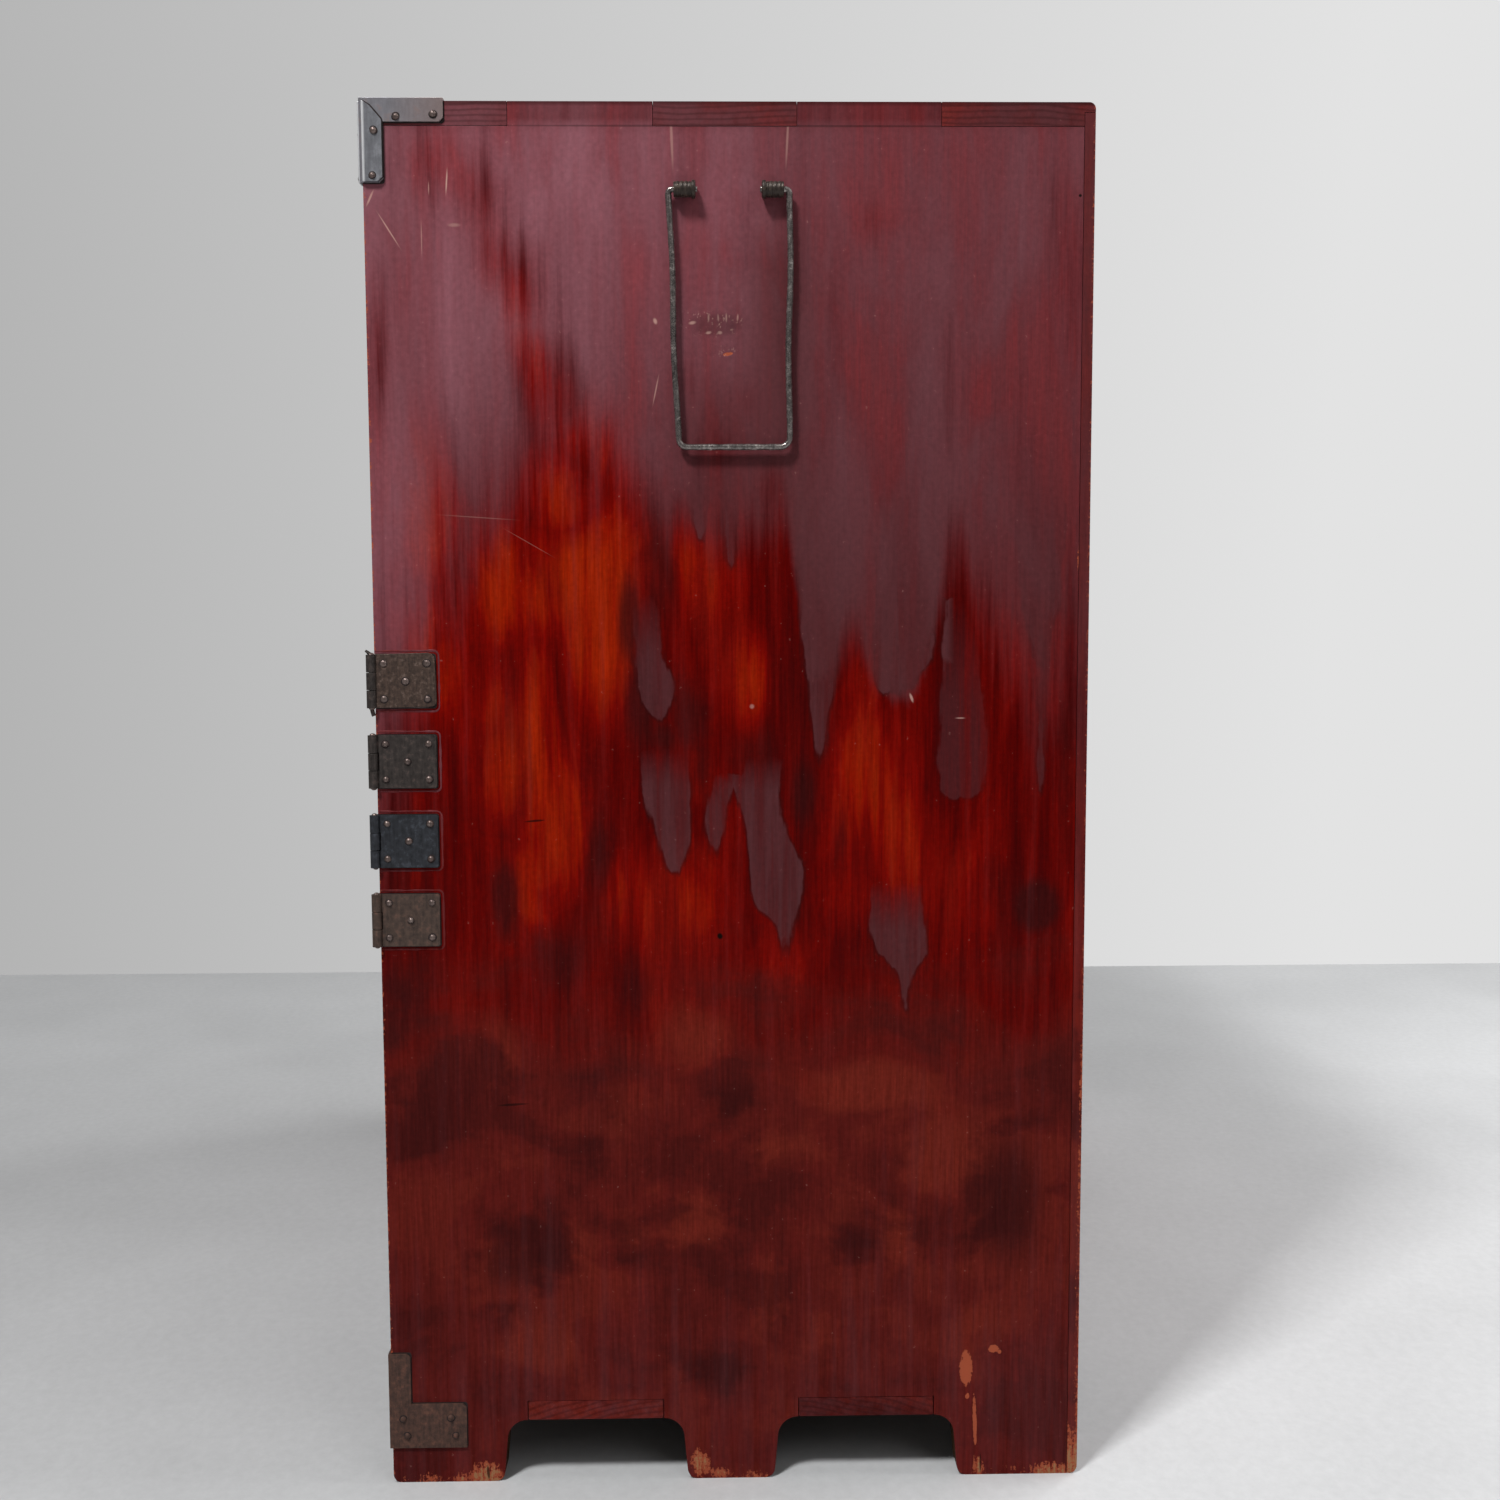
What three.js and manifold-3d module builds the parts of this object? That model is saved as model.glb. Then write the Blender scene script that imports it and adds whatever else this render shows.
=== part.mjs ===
// Ship chest: a tall lacquered case on arched feet, with two wide drawers below, a hinged safe door beside
// two small drawers in the middle, and a cupboard with a pair of sliding doors on top.
// Millimetres, +Z up. The front faces -Y and the safe door hangs on the right side, +X.
// Each piece is modelled in the chest's own frame: front edge at y = 0, floor at z = 0, middle at x = 0.

import * as THREE from "three";
import { mergeVertices } from "three/addons/utils/BufferGeometryUtils.js";
import Module from "manifold-3d";

const wasm = await Module();
wasm.setup();

// Case
const caseWidth = 820;
const caseDepth = 450;
const caseHeight = 880;
const sideThick = 18;
const topThick = 14.5;
const bottomThick = 12.5;
const backThick = 6.6;
const shelfThick = 12;
const dustThick = 10;

// Feet and arches, which the sides and the outer back boards share
const footHeight = 41.5;
const archCornerRadius = 13.3;
const archFlare = 3;
const footRound = 6;
const backFootWidth = 62;

// Joinery
const seam = 0.3; // the gap in a fixed joint, and under a metal fitting
const fingerCount = 5;
const dadoDepth = 6;
const housingDepth = 4;
const topLip = 6; // how much of the top board runs on over the back boards
const topRound = 4;
const frontEase = 1.5;
const backBoardCount = 3;

// Zones behind the front, from the floor of the case upwards: the cupboard takes what is left
const drawerZoneHeight = 284;
const middleZoneHeight = 200;
const safeWidth = 262;

// Drawers
const drawerFrontThick = 18;
const drawerLap = 10; // how far the front's rebate laps over the side, back and bottom boards
const drawerSideThick = 10;
const drawerBottomThick = 6;
const drawerSideClear = 0.8;
const drawerTopClear = 1.2;
const drawerBackClear = 6;
const drawerWallDrop = 8; // how far the side boards stay below the front's top edge
const boardEase = 1.2;

// Safe door
const safeDoorThick = 16;
const safeDoorFreeClear = 1.5;
const safeDoorHingeClear = 1;
const safeDoorEndClear = 0.8;

// Wrap-round hinges
const hingeCount = 4;
const hingeHeight = 33.5;
const hingeEndMargin = 24; // from the door opening's end to the middle of the first hinge
const hingeSideReach = 38;
const hingeDoorGrip = 34; // how far the leaf runs onto the door
const hingeKnuckleRadius = 3.15;
const hingePinRadius = 1.4;
const hingeBoreClear = 0.35;
const hingeAxisOut = 1.5; // the pin's distance outside the side's face
const hingeAxisAhead = 1.85; // and ahead of the case's front
const hingeKnuckleGap = 0.35;
const hingeLeafGap = 0.6;
const hingeReliefClear = 0.4;
const hingeCornerCut = 1;
const hingeOldCornerCut = 5; // the top one is an older pattern with rounder corners

// Sheet iron
const sheetThick = 1.2;
const sheetCornerCut = 2.5;

// Corner brackets
const topBracketArm = 49.8;
const topBracketDrop = 49;
const topBracketWide = 12.7;
const bottomBracketArm = 48.7;
const bottomBracketLift = 24.1;
const bottomBracketFoot = 29.7;
const bottomBracketRise = 63.7;
const bottomBracketWide = 12.8;

// Side bails, which take a carrying pole when they are lifted above the top
const carryAxisDrop = 53.7;
const carryMiddle = 223.8;
const carryEyeSpacing = 56;
const carryEyeLength = 11.5;
const carryEyeRadius = 4.5;
const carryBarRadius = 2.5;
const carryBoreClear = 0.3;
const carryShoulderGap = 1;
const carryTipProud = 3;
const carryTipHeadRadius = 3.3;
const carryTipHeadLength = 1.2;
const carryDrop = 152.8;
const carryLean = 5.7; // how far the front leg leans back at its foot
const carryCornerRadius = 8;
const carryShankWide = 9;
const carryShankThick = 3;
const carryClinchLength = 28;
const carryClinchThick = 1.5;

// Drawer pulls
const pullEyeSpacing = 74;
const pullEyeLength = 7;
const pullEyeRadius = 3.8;
const pullBarRadius = 2;
const pullBoreClear = 0.3;
const pullShoulderGap = 0.8;
const pullTipProud = 2;
const pullDrop = 33;
const pullCornerRadius = 13;
const pullPlateWide = 108;
const pullPlateHigh = 24;
const pullPlateCut = 7;
const pullRaise = 14; // how far the pull's axis lies above the middle of its drawer front

// Lock plate of the safe door
const lockPlateWide = 64;
const lockPlateHigh = 76;
const lockPlateCut = 9;
const lockPlateInset = 14;
const keyholeRadius = 4;
const keyholeSlotWide = 3.6;
const keyholeSlotDrop = 13;

// Sliding doors
const slideDoorThick = 18;
const slideDoorGap = 1;
const slideDoorOverlap = 12;
const slideDoorSideClear = 0.6;
const slideDoorEndClear = 0.8;
const slideTrackHigh = 14;
const slideTrackFrontWall = 5;
const slideTongueThick = 8;
const slideTongueClear = 0.6;
const slideLowerGroove = 5;
const slideUpperGroove = 10;
const fingerCupLength = 62;
const fingerCupWide = 22;
const fingerCupDepth = 6;
const fingerCupInset = 40;

// Facets
const overrun = 5; // how far a cutter runs past the material that it cuts
const bendSteps = 4;
const barSides = 10;
const ringSides = 20;
const curveSegments = 6;

// Places worked out from the sizes
const halfWidth = caseWidth / 2;
const innerHalf = halfWidth - sideThick;
const bodyDepth = caseDepth - backThick - seam;
const fingerPitch = (caseDepth - backThick) / fingerCount;
const floorTop = footHeight + bottomThick;
const lowerShelfZ = floorTop + drawerZoneHeight;
const middleZ = lowerShelfZ + shelfThick;
const upperShelfZ = middleZ + middleZoneHeight;
const cupboardZ = upperShelfZ + shelfThick;
const topUnder = caseHeight - topThick;
const dustZ = floorTop + (drawerZoneHeight - dustThick) / 2;
const dividerZ = middleZ + (middleZoneHeight - dustThick) / 2;
const partitionRight = innerHalf - safeWidth;
const partitionLeft = partitionRight - shelfThick;
const hingeAxis = { x: halfWidth + hingeAxisOut, y: -hingeAxisAhead };
const carryAxis = { x: halfWidth + seam + carryEyeRadius, z: caseHeight - carryAxisDrop };
const pullAxisOut = seam + sheetThick + pullEyeRadius;
const frontProud = pullAxisOut + pullEyeRadius;

// Finishes: one of each is made for every mesh
const finishes = {
  lacquer: { color: 0x5a1b19, roughness: 0.45, metalness: 0 },
  bareWood: { color: 0xb58d5e, roughness: 0.8, metalness: 0 },
  blackIron: { color: 0x35333a, roughness: 0.55, metalness: 0.8 },
  rustyIron: { color: 0x4d3d36, roughness: 0.75, metalness: 0.6 },
  brightIron: { color: 0x66666b, roughness: 0.5, metalness: 0.85 },
};

const chest = new THREE.Group();
chest.name = "ship_chest";
chest.position.y = (frontProud - caseDepth) / 2;

// Solids

function solid(geometry) {
  const bare = geometry.clone();
  bare.deleteAttribute("normal");
  bare.deleteAttribute("uv");
  const merged = mergeVertices(bare);
  const vertProperties = merged.getAttribute("position").array;
  const triVerts = new Uint32Array(merged.getIndex().array);
  return new wasm.Manifold(new wasm.Mesh({ numProp: 3, vertProperties, triVerts }));
}

function join(bodies) {
  return bodies.reduce((whole, body) => whole.add(body));
}

function cut(body, cutters) {
  return cutters.reduce((rest, cutter) => rest.subtract(cutter), body);
}

function block([x0, x1], [y0, y1], [z0, z1]) {
  const geometry = new THREE.BoxGeometry(x1 - x0, y1 - y0, z1 - z0);
  geometry.translate((x0 + x1) / 2, (y0 + y1) / 2, (z0 + z1) / 2);
  return solid(geometry);
}

// Turns that lay an outline drawn in x and y into the plane across the named axis
const turns = {
  x: new THREE.Matrix4().set(0, 0, 1, 0, 1, 0, 0, 0, 0, 1, 0, 0, 0, 0, 0, 1),
  y: new THREE.Matrix4().set(1, 0, 0, 0, 0, 0, -1, 0, 0, 1, 0, 0, 0, 0, 0, 1),
  z: new THREE.Matrix4(),
};

// An outline run along an axis: (y, z) outlines along x, (x, z) outlines along y, (x, y) outlines along z
function prism(outline, axis, [from, to], ease = 0) {
  const bevel = { bevelThickness: ease, bevelSize: ease, bevelOffset: -ease, bevelSegments: 1 };
  const depth = to - from - 2 * ease;
  const options = { depth, curveSegments, steps: 1, bevelEnabled: ease > 0, ...bevel };
  const geometry = new THREE.ExtrudeGeometry(outline, options);
  geometry.translate(0, 0, ease);
  geometry.applyMatrix4(turns[axis]);
  if (axis === "x") geometry.translate(from, 0, 0);
  if (axis === "y") geometry.translate(0, to, 0);
  if (axis === "z") geometry.translate(0, 0, from);
  return solid(geometry);
}

function polygon(points) {
  return new THREE.Shape(points.map(([u, v]) => new THREE.Vector2(u, v)));
}

// A rectangle with its four corners cut off
function cutRectangle([u0, u1], [v0, v1], corner) {
  const low = [[u0 + corner, v0], [u1 - corner, v0], [u1, v0 + corner]];
  const high = [[u1, v1 - corner], [u1 - corner, v1], [u0 + corner, v1]];
  return polygon([...low, ...high, [u0, v1 - corner], [u0, v0 + corner]]);
}

// A board whose front and back edges are eased, as a plane leaves them
function easedBoard([x0, x1], [y0, y1], [z0, z1]) {
  const face = polygon([[x0, z0], [x1, z0], [x1, z1], [x0, z1]]);
  return prism(face, "y", [y0, y1], boardEase);
}

function rod(axis, centre, radius, [from, to], sides = ringSides) {
  const geometry = new THREE.CylinderGeometry(radius, radius, to - from, sides);
  const middle = (from + to) / 2;
  if (axis === "x") geometry.rotateZ(-Math.PI / 2).translate(middle, centre.y, centre.z);
  if (axis === "y") geometry.translate(centre.x, middle, centre.z);
  if (axis === "z") geometry.rotateX(Math.PI / 2).translate(centre.x, centre.y, middle);
  return solid(geometry);
}

function addPiece(parent, name, body, finish) {
  const mesh = body.getMesh();
  const geometry = new THREE.BufferGeometry();
  geometry.setAttribute("position", new THREE.BufferAttribute(mesh.vertProperties, 3));
  geometry.setIndex(new THREE.BufferAttribute(mesh.triVerts, 1));
  geometry.computeVertexNormals();
  const piece = new THREE.Mesh(geometry, new THREE.MeshStandardMaterial(finishes[finish]));
  piece.name = name;
  parent.add(piece);
}

// The outer faces of each side are modelled once, on the right, and the left side is its mirror image
function flank(mirror) {
  const group = new THREE.Group();
  group.scale.x = mirror;
  chest.add(group);
  return group;
}

// The span of one finger of the corner joints, counted from the front, with a margin at both ends
function finger(index, margin = 0) {
  return [index * fingerPitch - margin, (index + 1) * fingerPitch + margin];
}

// Sides

// One arch between two feet, from the foot's floor end over the top to the next foot's floor end.
// The bottom board's finger fills the notch above the arch.
function archPoints(outline, index) {
  const [notchStart, notchEnd] = finger(index, seam);
  const spring = footHeight - archCornerRadius;
  const floorStart = notchStart - archCornerRadius - archFlare;
  const floorEnd = notchEnd + archCornerRadius + archFlare;
  outline.lineTo(floorStart - footRound, 0);
  outline.quadraticCurveTo(floorStart, 0, floorStart + archFlare / 3, footRound);
  outline.absarc(notchStart, spring, archCornerRadius, Math.PI, Math.PI / 2, true);
  outline.lineTo(notchStart, floorTop + seam);
  outline.lineTo(notchEnd, floorTop + seam);
  outline.lineTo(notchEnd, footHeight);
  outline.absarc(notchEnd, spring, archCornerRadius, Math.PI / 2, 0, true);
  outline.lineTo(floorEnd - archFlare / 3, footRound);
  outline.quadraticCurveTo(floorEnd, 0, floorEnd + footRound, 0);
}

function sideOutline() {
  const outline = new THREE.Shape();
  outline.moveTo(footRound, 0);
  for (let index = 1; index < fingerCount; index += 2) archPoints(outline, index);
  outline.lineTo(bodyDepth, 0);
  outline.lineTo(bodyDepth, topUnder - seam);
  for (let index = fingerCount - 2; index > 0; index -= 2) {
    const [start, end] = finger(index);
    outline.lineTo(end, topUnder - seam);
    outline.lineTo(end, caseHeight);
    outline.lineTo(start, caseHeight);
    outline.lineTo(start, topUnder - seam);
  }
  outline.lineTo(0, topUnder - seam);
  outline.lineTo(0, footRound);
  outline.quadraticCurveTo(0, 0, footRound, 0);
  return outline;
}

// A groove across the side's inner face for a board of the given height and thickness
function sideDado(z, thick) {
  const across = [innerHalf - overrun, innerHalf + dadoDepth];
  return block(across, [-overrun, caseDepth], [z - seam, z + thick + seam]);
}

function hingeCentres() {
  const first = middleZ + hingeEndMargin;
  const last = upperShelfZ - hingeEndMargin;
  const pitch = (last - first) / (hingeCount - 1);
  return Array.from({ length: hingeCount }, (_, index) => last - index * pitch);
}

function hingeReliefs() {
  const radius = hingeKnuckleRadius + hingeReliefClear;
  const half = hingeHeight / 2 + hingeReliefClear;
  return hingeCentres().map((z) => rod("z", hingeAxis, radius, [z - half, z + half]));
}

function carryEyeMiddles() {
  return [carryMiddle - carryEyeSpacing / 2, carryMiddle + carryEyeSpacing / 2];
}

function carryEyeSlots() {
  const wide = carryShankWide / 2 + seam;
  const high = carryShankThick / 2 + seam;
  const across = [innerHalf - overrun, halfWidth + overrun];
  return carryEyeMiddles().map((y) =>
    block(across, [y - wide, y + wide], [carryAxis.z - high, carryAxis.z + high]));
}

function sidePanel(grooves, extraCuts) {
  const panel = prism(sideOutline(), "x", [innerHalf, halfWidth]);
  const dados = grooves.map(([z, thick]) => sideDado(z, thick));
  return cut(panel, [...dados, ...carryEyeSlots(), ...extraCuts]);
}

// Top, bottom, back and shelves

function topBoard() {
  const outline = new THREE.Shape();
  const backUnder = caseHeight - topLip;
  outline.moveTo(0, topUnder);
  outline.lineTo(bodyDepth, topUnder);
  outline.lineTo(bodyDepth, backUnder);
  outline.lineTo(caseDepth, backUnder);
  outline.lineTo(caseDepth, caseHeight - topRound);
  outline.absarc(caseDepth - topRound, caseHeight - topRound, topRound, 0, Math.PI / 2, false);
  outline.lineTo(frontEase, caseHeight);
  outline.lineTo(0, caseHeight - frontEase);
  const board = prism(outline, "x", [-halfWidth, halfWidth]);
  const notches = [];
  for (let index = 1; index < fingerCount; index += 2) {
    for (const side of [-1, 1]) {
      const across = [side * (innerHalf - seam), side * (halfWidth + overrun)].sort((a, b) => a - b);
      notches.push(block(across, finger(index, seam), [topUnder - overrun, caseHeight + overrun]));
    }
  }
  return cut(board, notches);
}

function bottomBoard() {
  const reach = innerHalf - seam;
  const board = block([-reach, reach], [0, bodyDepth], [footHeight, floorTop]);
  const fingers = [];
  for (let index = 1; index < fingerCount; index += 2) {
    fingers.push(block([-halfWidth, halfWidth], finger(index), [footHeight, floorTop]));
  }
  return join([board, ...fingers]);
}

// The back boards stand upright behind the case, and the outer two run down to the floor as feet
function backBoards() {
  const faceY = caseDepth - backThick;
  const top = caseHeight - topLip - seam;
  const profile = new THREE.Shape();
  profile.moveTo(faceY, 0);
  profile.lineTo(caseDepth - footRound, 0);
  profile.quadraticCurveTo(caseDepth, 0, caseDepth, footRound);
  profile.lineTo(caseDepth, top);
  profile.lineTo(faceY, top);
  const pitch = caseWidth / backBoardCount;
  return Array.from({ length: backBoardCount }, (_, index) => {
    const start = -halfWidth + index * pitch;
    const inset = seam / 2;
    const startInset = index === 0 ? 0 : inset;
    const endInset = index === backBoardCount - 1 ? 0 : inset;
    const board = prism(profile, "x", [start + startInset, start + pitch - endInset]);
    return cut(board, [backArch()]);
  });
}

// The opening below the back boards, between the two rear feet
function backArch() {
  const half = halfWidth - backFootWidth;
  const spring = footHeight - archCornerRadius;
  const centre = half - archCornerRadius;
  const outline = new THREE.Shape();
  outline.moveTo(-half - archFlare, -overrun);
  outline.lineTo(half + archFlare, -overrun);
  outline.absarc(centre, spring, archCornerRadius, 0, Math.PI / 2, false);
  outline.absarc(-centre, spring, archCornerRadius, Math.PI / 2, Math.PI, false);
  return prism(outline, "y", [bodyDepth - overrun, caseDepth + overrun]);
}

// A board across the case, held in a groove in each side
function crossBoard(z, thick) {
  const reach = innerHalf + dadoDepth - seam;
  return block([-reach, reach], [0, bodyDepth], [z, z + thick]);
}

// Grooves in the two shelves for the ends of the partition
function partitionHousing(z0, z1) {
  return block([partitionLeft - seam, partitionRight + seam], [-overrun, caseDepth], [z0, z1]);
}

function partition() {
  const ends = [middleZ - housingDepth + seam, upperShelfZ + housingDepth - seam];
  const board = block([partitionLeft, partitionRight], [0, bodyDepth], ends);
  const groove = block(
    [partitionLeft - overrun, partitionLeft + housingDepth],
    [-overrun, caseDepth],
    [dividerZ - seam, dividerZ + dustThick + seam],
  );
  return cut(board, [groove]);
}

function smallDrawerDivider() {
  const across = [-innerHalf - dadoDepth + seam, partitionLeft + housingDepth - seam];
  return block(across, [0, bodyDepth], [dividerZ, dividerZ + dustThick]);
}

// Bent bars

// A curve through given stations, which are all sampled, with its turn shared evenly at each one
class StationCurve extends THREE.Curve {
  constructor(stations) {
    super();
    this.stations = stations;
  }

  getPoint(t) {
    const last = this.stations.length - 1;
    const start = Math.min(Math.floor(t * last), last - 1);
    return this.stations[start].clone().lerp(this.stations[start + 1], t * last - start);
  }

  getTangent(t) {
    const last = this.stations.length - 1;
    const here = Math.round(t * last);
    const ahead = this.stations[Math.min(here + 1, last)].clone().sub(this.stations[here]).normalize();
    const behind = this.stations[here].clone().sub(this.stations[Math.max(here - 1, 0)]).normalize();
    return ahead.add(behind).normalize();
  }

  getUtoTmapping(u) {
    return u;
  }
}

// Stations along straight runs with a round bend at each inner corner
function bentRoute(corners, radii) {
  const stations = [corners[0]];
  for (let index = 1; index < corners.length - 1; index++) {
    const corner = corners[index];
    const radius = radii[index - 1];
    const back = corners[index - 1].clone().sub(corner).normalize();
    const on = corners[index + 1].clone().sub(corner).normalize();
    const half = back.angleTo(on) / 2;
    const centre = back.clone().add(on).setLength(radius / Math.sin(half)).add(corner);
    const spoke = back.clone().multiplyScalar(radius / Math.tan(half)).add(corner).sub(centre);
    const axis = on.clone().cross(back).normalize().negate();
    const turn = Math.PI - 2 * half;
    for (let step = 0; step <= bendSteps; step++) {
      const angle = (turn * step) / bendSteps;
      stations.push(spoke.clone().applyAxisAngle(axis, -angle).add(centre));
    }
  }
  stations.push(corners[corners.length - 1]);
  return stations;
}

function roundSection(radius) {
  const points = Array.from({ length: barSides }, (_, index) => {
    const angle = (2 * Math.PI * index) / barSides;
    return [radius * Math.cos(angle), radius * Math.sin(angle)];
  });
  return polygon(points);
}

function bentBar(stations, radius) {
  const extrudePath = new StationCurve(stations);
  const options = { extrudePath, steps: stations.length - 1, bevelEnabled: false };
  return solid(new THREE.ExtrudeGeometry(roundSection(radius), options));
}

// Side bails and their eyes

function carryBail() {
  const x = carryAxis.x;
  const tip = carryEyeSpacing / 2 - carryEyeLength / 2 - carryTipProud;
  const leg = carryEyeSpacing / 2 + carryEyeLength / 2 + carryShoulderGap + carryBarRadius;
  const at = (y, z) => new THREE.Vector3(x, carryMiddle + y, carryAxis.z + z);
  const corners = [
    at(-tip, 0), at(-leg, 0), at(-leg + carryLean, -carryDrop),
    at(leg, -carryDrop), at(leg, 0), at(tip, 0),
  ];
  const turn = carryBarRadius + carryShoulderGap - seam;
  const radii = [turn, carryCornerRadius, carryCornerRadius, turn];
  const bar = bentBar(bentRoute(corners, radii), carryBarRadius);
  const axis = { x, z: carryAxis.z };
  const front = carryMiddle - tip;
  const back = carryMiddle + tip;
  const heads = [
    rod("y", axis, carryTipHeadRadius, [front, front + carryTipHeadLength], barSides),
    rod("y", axis, carryTipHeadRadius, [back - carryTipHeadLength, back], barSides),
  ];
  return join([bar, ...heads]);
}

// A strap rolled round the bail's end, driven through the side and clinched on the inside
function carryEye(middle) {
  const along = [middle - carryEyeLength / 2, middle + carryEyeLength / 2];
  const barrel = rod("y", carryAxis, carryEyeRadius, along);
  const bore = rod("y", carryAxis, carryBarRadius + carryBoreClear, [along[0] - overrun, along[1] + overrun]);
  const wide = [middle - carryShankWide / 2, middle + carryShankWide / 2];
  const high = [carryAxis.z - carryShankThick / 2, carryAxis.z + carryShankThick / 2];
  const clinchOuter = innerHalf - seam;
  const clinchInner = clinchOuter - carryClinchThick;
  const shank = block([clinchInner, carryAxis.x], wide, high);
  const clinchHalf = carryClinchLength / 2;
  const clinch = block(
    [clinchInner, clinchOuter],
    wide,
    [carryAxis.z - clinchHalf, carryAxis.z + clinchHalf],
  );
  return cut(join([barrel, shank, clinch]), [bore]);
}

// Corner brackets: one sheet folded round the corner, with an elbow on each face that it covers

// An elbow with one arm along each of its outer edges, mapped into the plane of a face
function elbow(armLong, armWide, riseLong, riseWide, place) {
  const corner = sheetCornerCut;
  const points = [
    [0, 0], [armLong, 0], [armLong, armWide - corner], [armLong - corner, armWide],
    [riseWide, armWide], [riseWide, riseLong - corner], [riseWide - corner, riseLong], [0, riseLong],
  ];
  return polygon(points.map(place));
}

function topBracket() {
  const under = seam;
  const over = seam + sheetThick;
  const x = halfWidth + over;
  const y = -over;
  const z = caseHeight + over;
  const wide = topBracketWide + over;
  const arm = topBracketArm + over;
  const drop = topBracketDrop + over;
  const side = elbow(arm, wide, drop, wide, ([u, v]) => [y + u, z - v]);
  const front = elbow(arm, wide, drop, wide, ([u, v]) => [x - u, z - v]);
  const top = elbow(arm, wide, arm, wide, ([u, v]) => [x - u, y + v]);
  return join([
    prism(side, "x", [halfWidth + under, x]),
    prism(front, "y", [y, -under]),
    prism(top, "z", [caseHeight + under, z]),
  ]);
}

function bottomBracket() {
  const over = seam + sheetThick;
  const x = halfWidth + over;
  const y = -over;
  const z = bottomBracketLift;
  const wide = bottomBracketWide + over;
  const arm = bottomBracketArm + over;
  const tab = wide + sheetCornerCut;
  const side = elbow(arm, bottomBracketFoot, bottomBracketRise, wide, ([u, v]) => [y + u, z + v]);
  const strip = elbow(tab, sheetCornerCut, bottomBracketRise, wide, ([u, v]) => [x - u, z + v]);
  const frontArm = block([x - arm, x], [y, -seam], [footHeight, bottomBracketLift + bottomBracketFoot]);
  return join([
    prism(side, "x", [halfWidth + seam, x]),
    prism(strip, "y", [y, -seam]),
    frontArm,
  ]);
}

// Hinges

function hingeKnuckle(z, third) {
  const pitch = hingeHeight / 3;
  const start = z - hingeHeight / 2 + third * pitch;
  const startGap = third === 0 ? 0 : hingeKnuckleGap / 2;
  const endGap = third === 2 ? 0 : hingeKnuckleGap / 2;
  return [start + startGap, start + pitch - endGap];
}

// The leaf nailed to the side, with the outer two knuckles and the pin between them
function hingeSideLeaf(z, cornerCut) {
  const sheet = [halfWidth + seam, halfWidth + seam + sheetThick];
  const start = hingeKnuckleRadius + hingeLeafGap - hingeAxisAhead;
  const high = [z - hingeHeight / 2, z + hingeHeight / 2];
  const plate = prism(cutRectangle([start, hingeSideReach], high, cornerCut), "x", sheet);
  const heights = [hingeKnuckle(z, 0), hingeKnuckle(z, 2)];
  const reach = start + cornerCut + hingeLeafGap;
  const straps = heights.map((height) => block(sheet, [hingeAxis.y, reach], height));
  const knuckles = heights.map((height) => rod("z", hingeAxis, hingeKnuckleRadius, height));
  const pin = rod("z", hingeAxis, hingePinRadius, high);
  return join([plate, ...straps, ...knuckles, pin]);
}

// The leaf nailed to the door, which crosses the side's front edge and has the middle knuckle
function hingeDoorLeaf(z, cornerCut) {
  const sheet = [-seam - sheetThick, -seam];
  const end = hingeAxis.x - hingeKnuckleRadius - hingeLeafGap;
  const start = innerHalf - hingeDoorGrip;
  const high = [z - hingeHeight / 2, z + hingeHeight / 2];
  const plate = prism(cutRectangle([start, end], high, cornerCut), "y", sheet);
  const height = hingeKnuckle(z, 1);
  const strap = block([end - cornerCut - hingeLeafGap, hingeAxis.x], sheet, height);
  const knuckle = rod("z", hingeAxis, hingeKnuckleRadius, height);
  const bore = rod("z", hingeAxis, hingePinRadius + hingeBoreClear, high);
  return cut(join([plate, strap, knuckle]), [bore]);
}

// Safe door

function safeDoor() {
  const wide = [partitionRight + safeDoorFreeClear, innerHalf - safeDoorHingeClear];
  const high = [middleZ + safeDoorEndClear, upperShelfZ - safeDoorEndClear];
  return easedBoard(wide, [0, safeDoorThick], high);
}

function lockPlate() {
  const start = partitionRight + safeDoorFreeClear + lockPlateInset;
  const middle = start + lockPlateWide / 2;
  const z = (middleZ + upperShelfZ) / 2;
  const sheet = [-seam - sheetThick, -seam];
  const high = [z - lockPlateHigh / 2, z + lockPlateHigh / 2];
  const plate = prism(cutRectangle([start, start + lockPlateWide], high, lockPlateCut), "y", sheet);
  const through = [sheet[0] - overrun, sheet[1] + overrun];
  const hole = rod("y", { x: middle, z }, keyholeRadius, through);
  const half = keyholeSlotWide / 2;
  const slot = block([middle - half, middle + half], through, [z - keyholeSlotDrop, z]);
  return cut(plate, [hole, slot]);
}

// Drawers

// The front is rebated at its ends and its foot, so that it covers the boards nailed to it
function drawerFront([x0, x1], [z0, z1]) {
  const face = easedBoard([x0, x1], [0, drawerFrontThick], [z0, z1]);
  const inner = [drawerFrontThick - drawerLap, drawerFrontThick + overrun];
  const tall = [z0 - overrun, z1 + overrun];
  const side = drawerSideThick + seam;
  return cut(face, [
    block([x0 - overrun, x0 + side], inner, tall),
    block([x1 - side, x1 + overrun], inner, tall),
    block([x0 - overrun, x1 + overrun], inner, [z0 - overrun, z0 + drawerBottomThick + seam]),
  ]);
}

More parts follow.
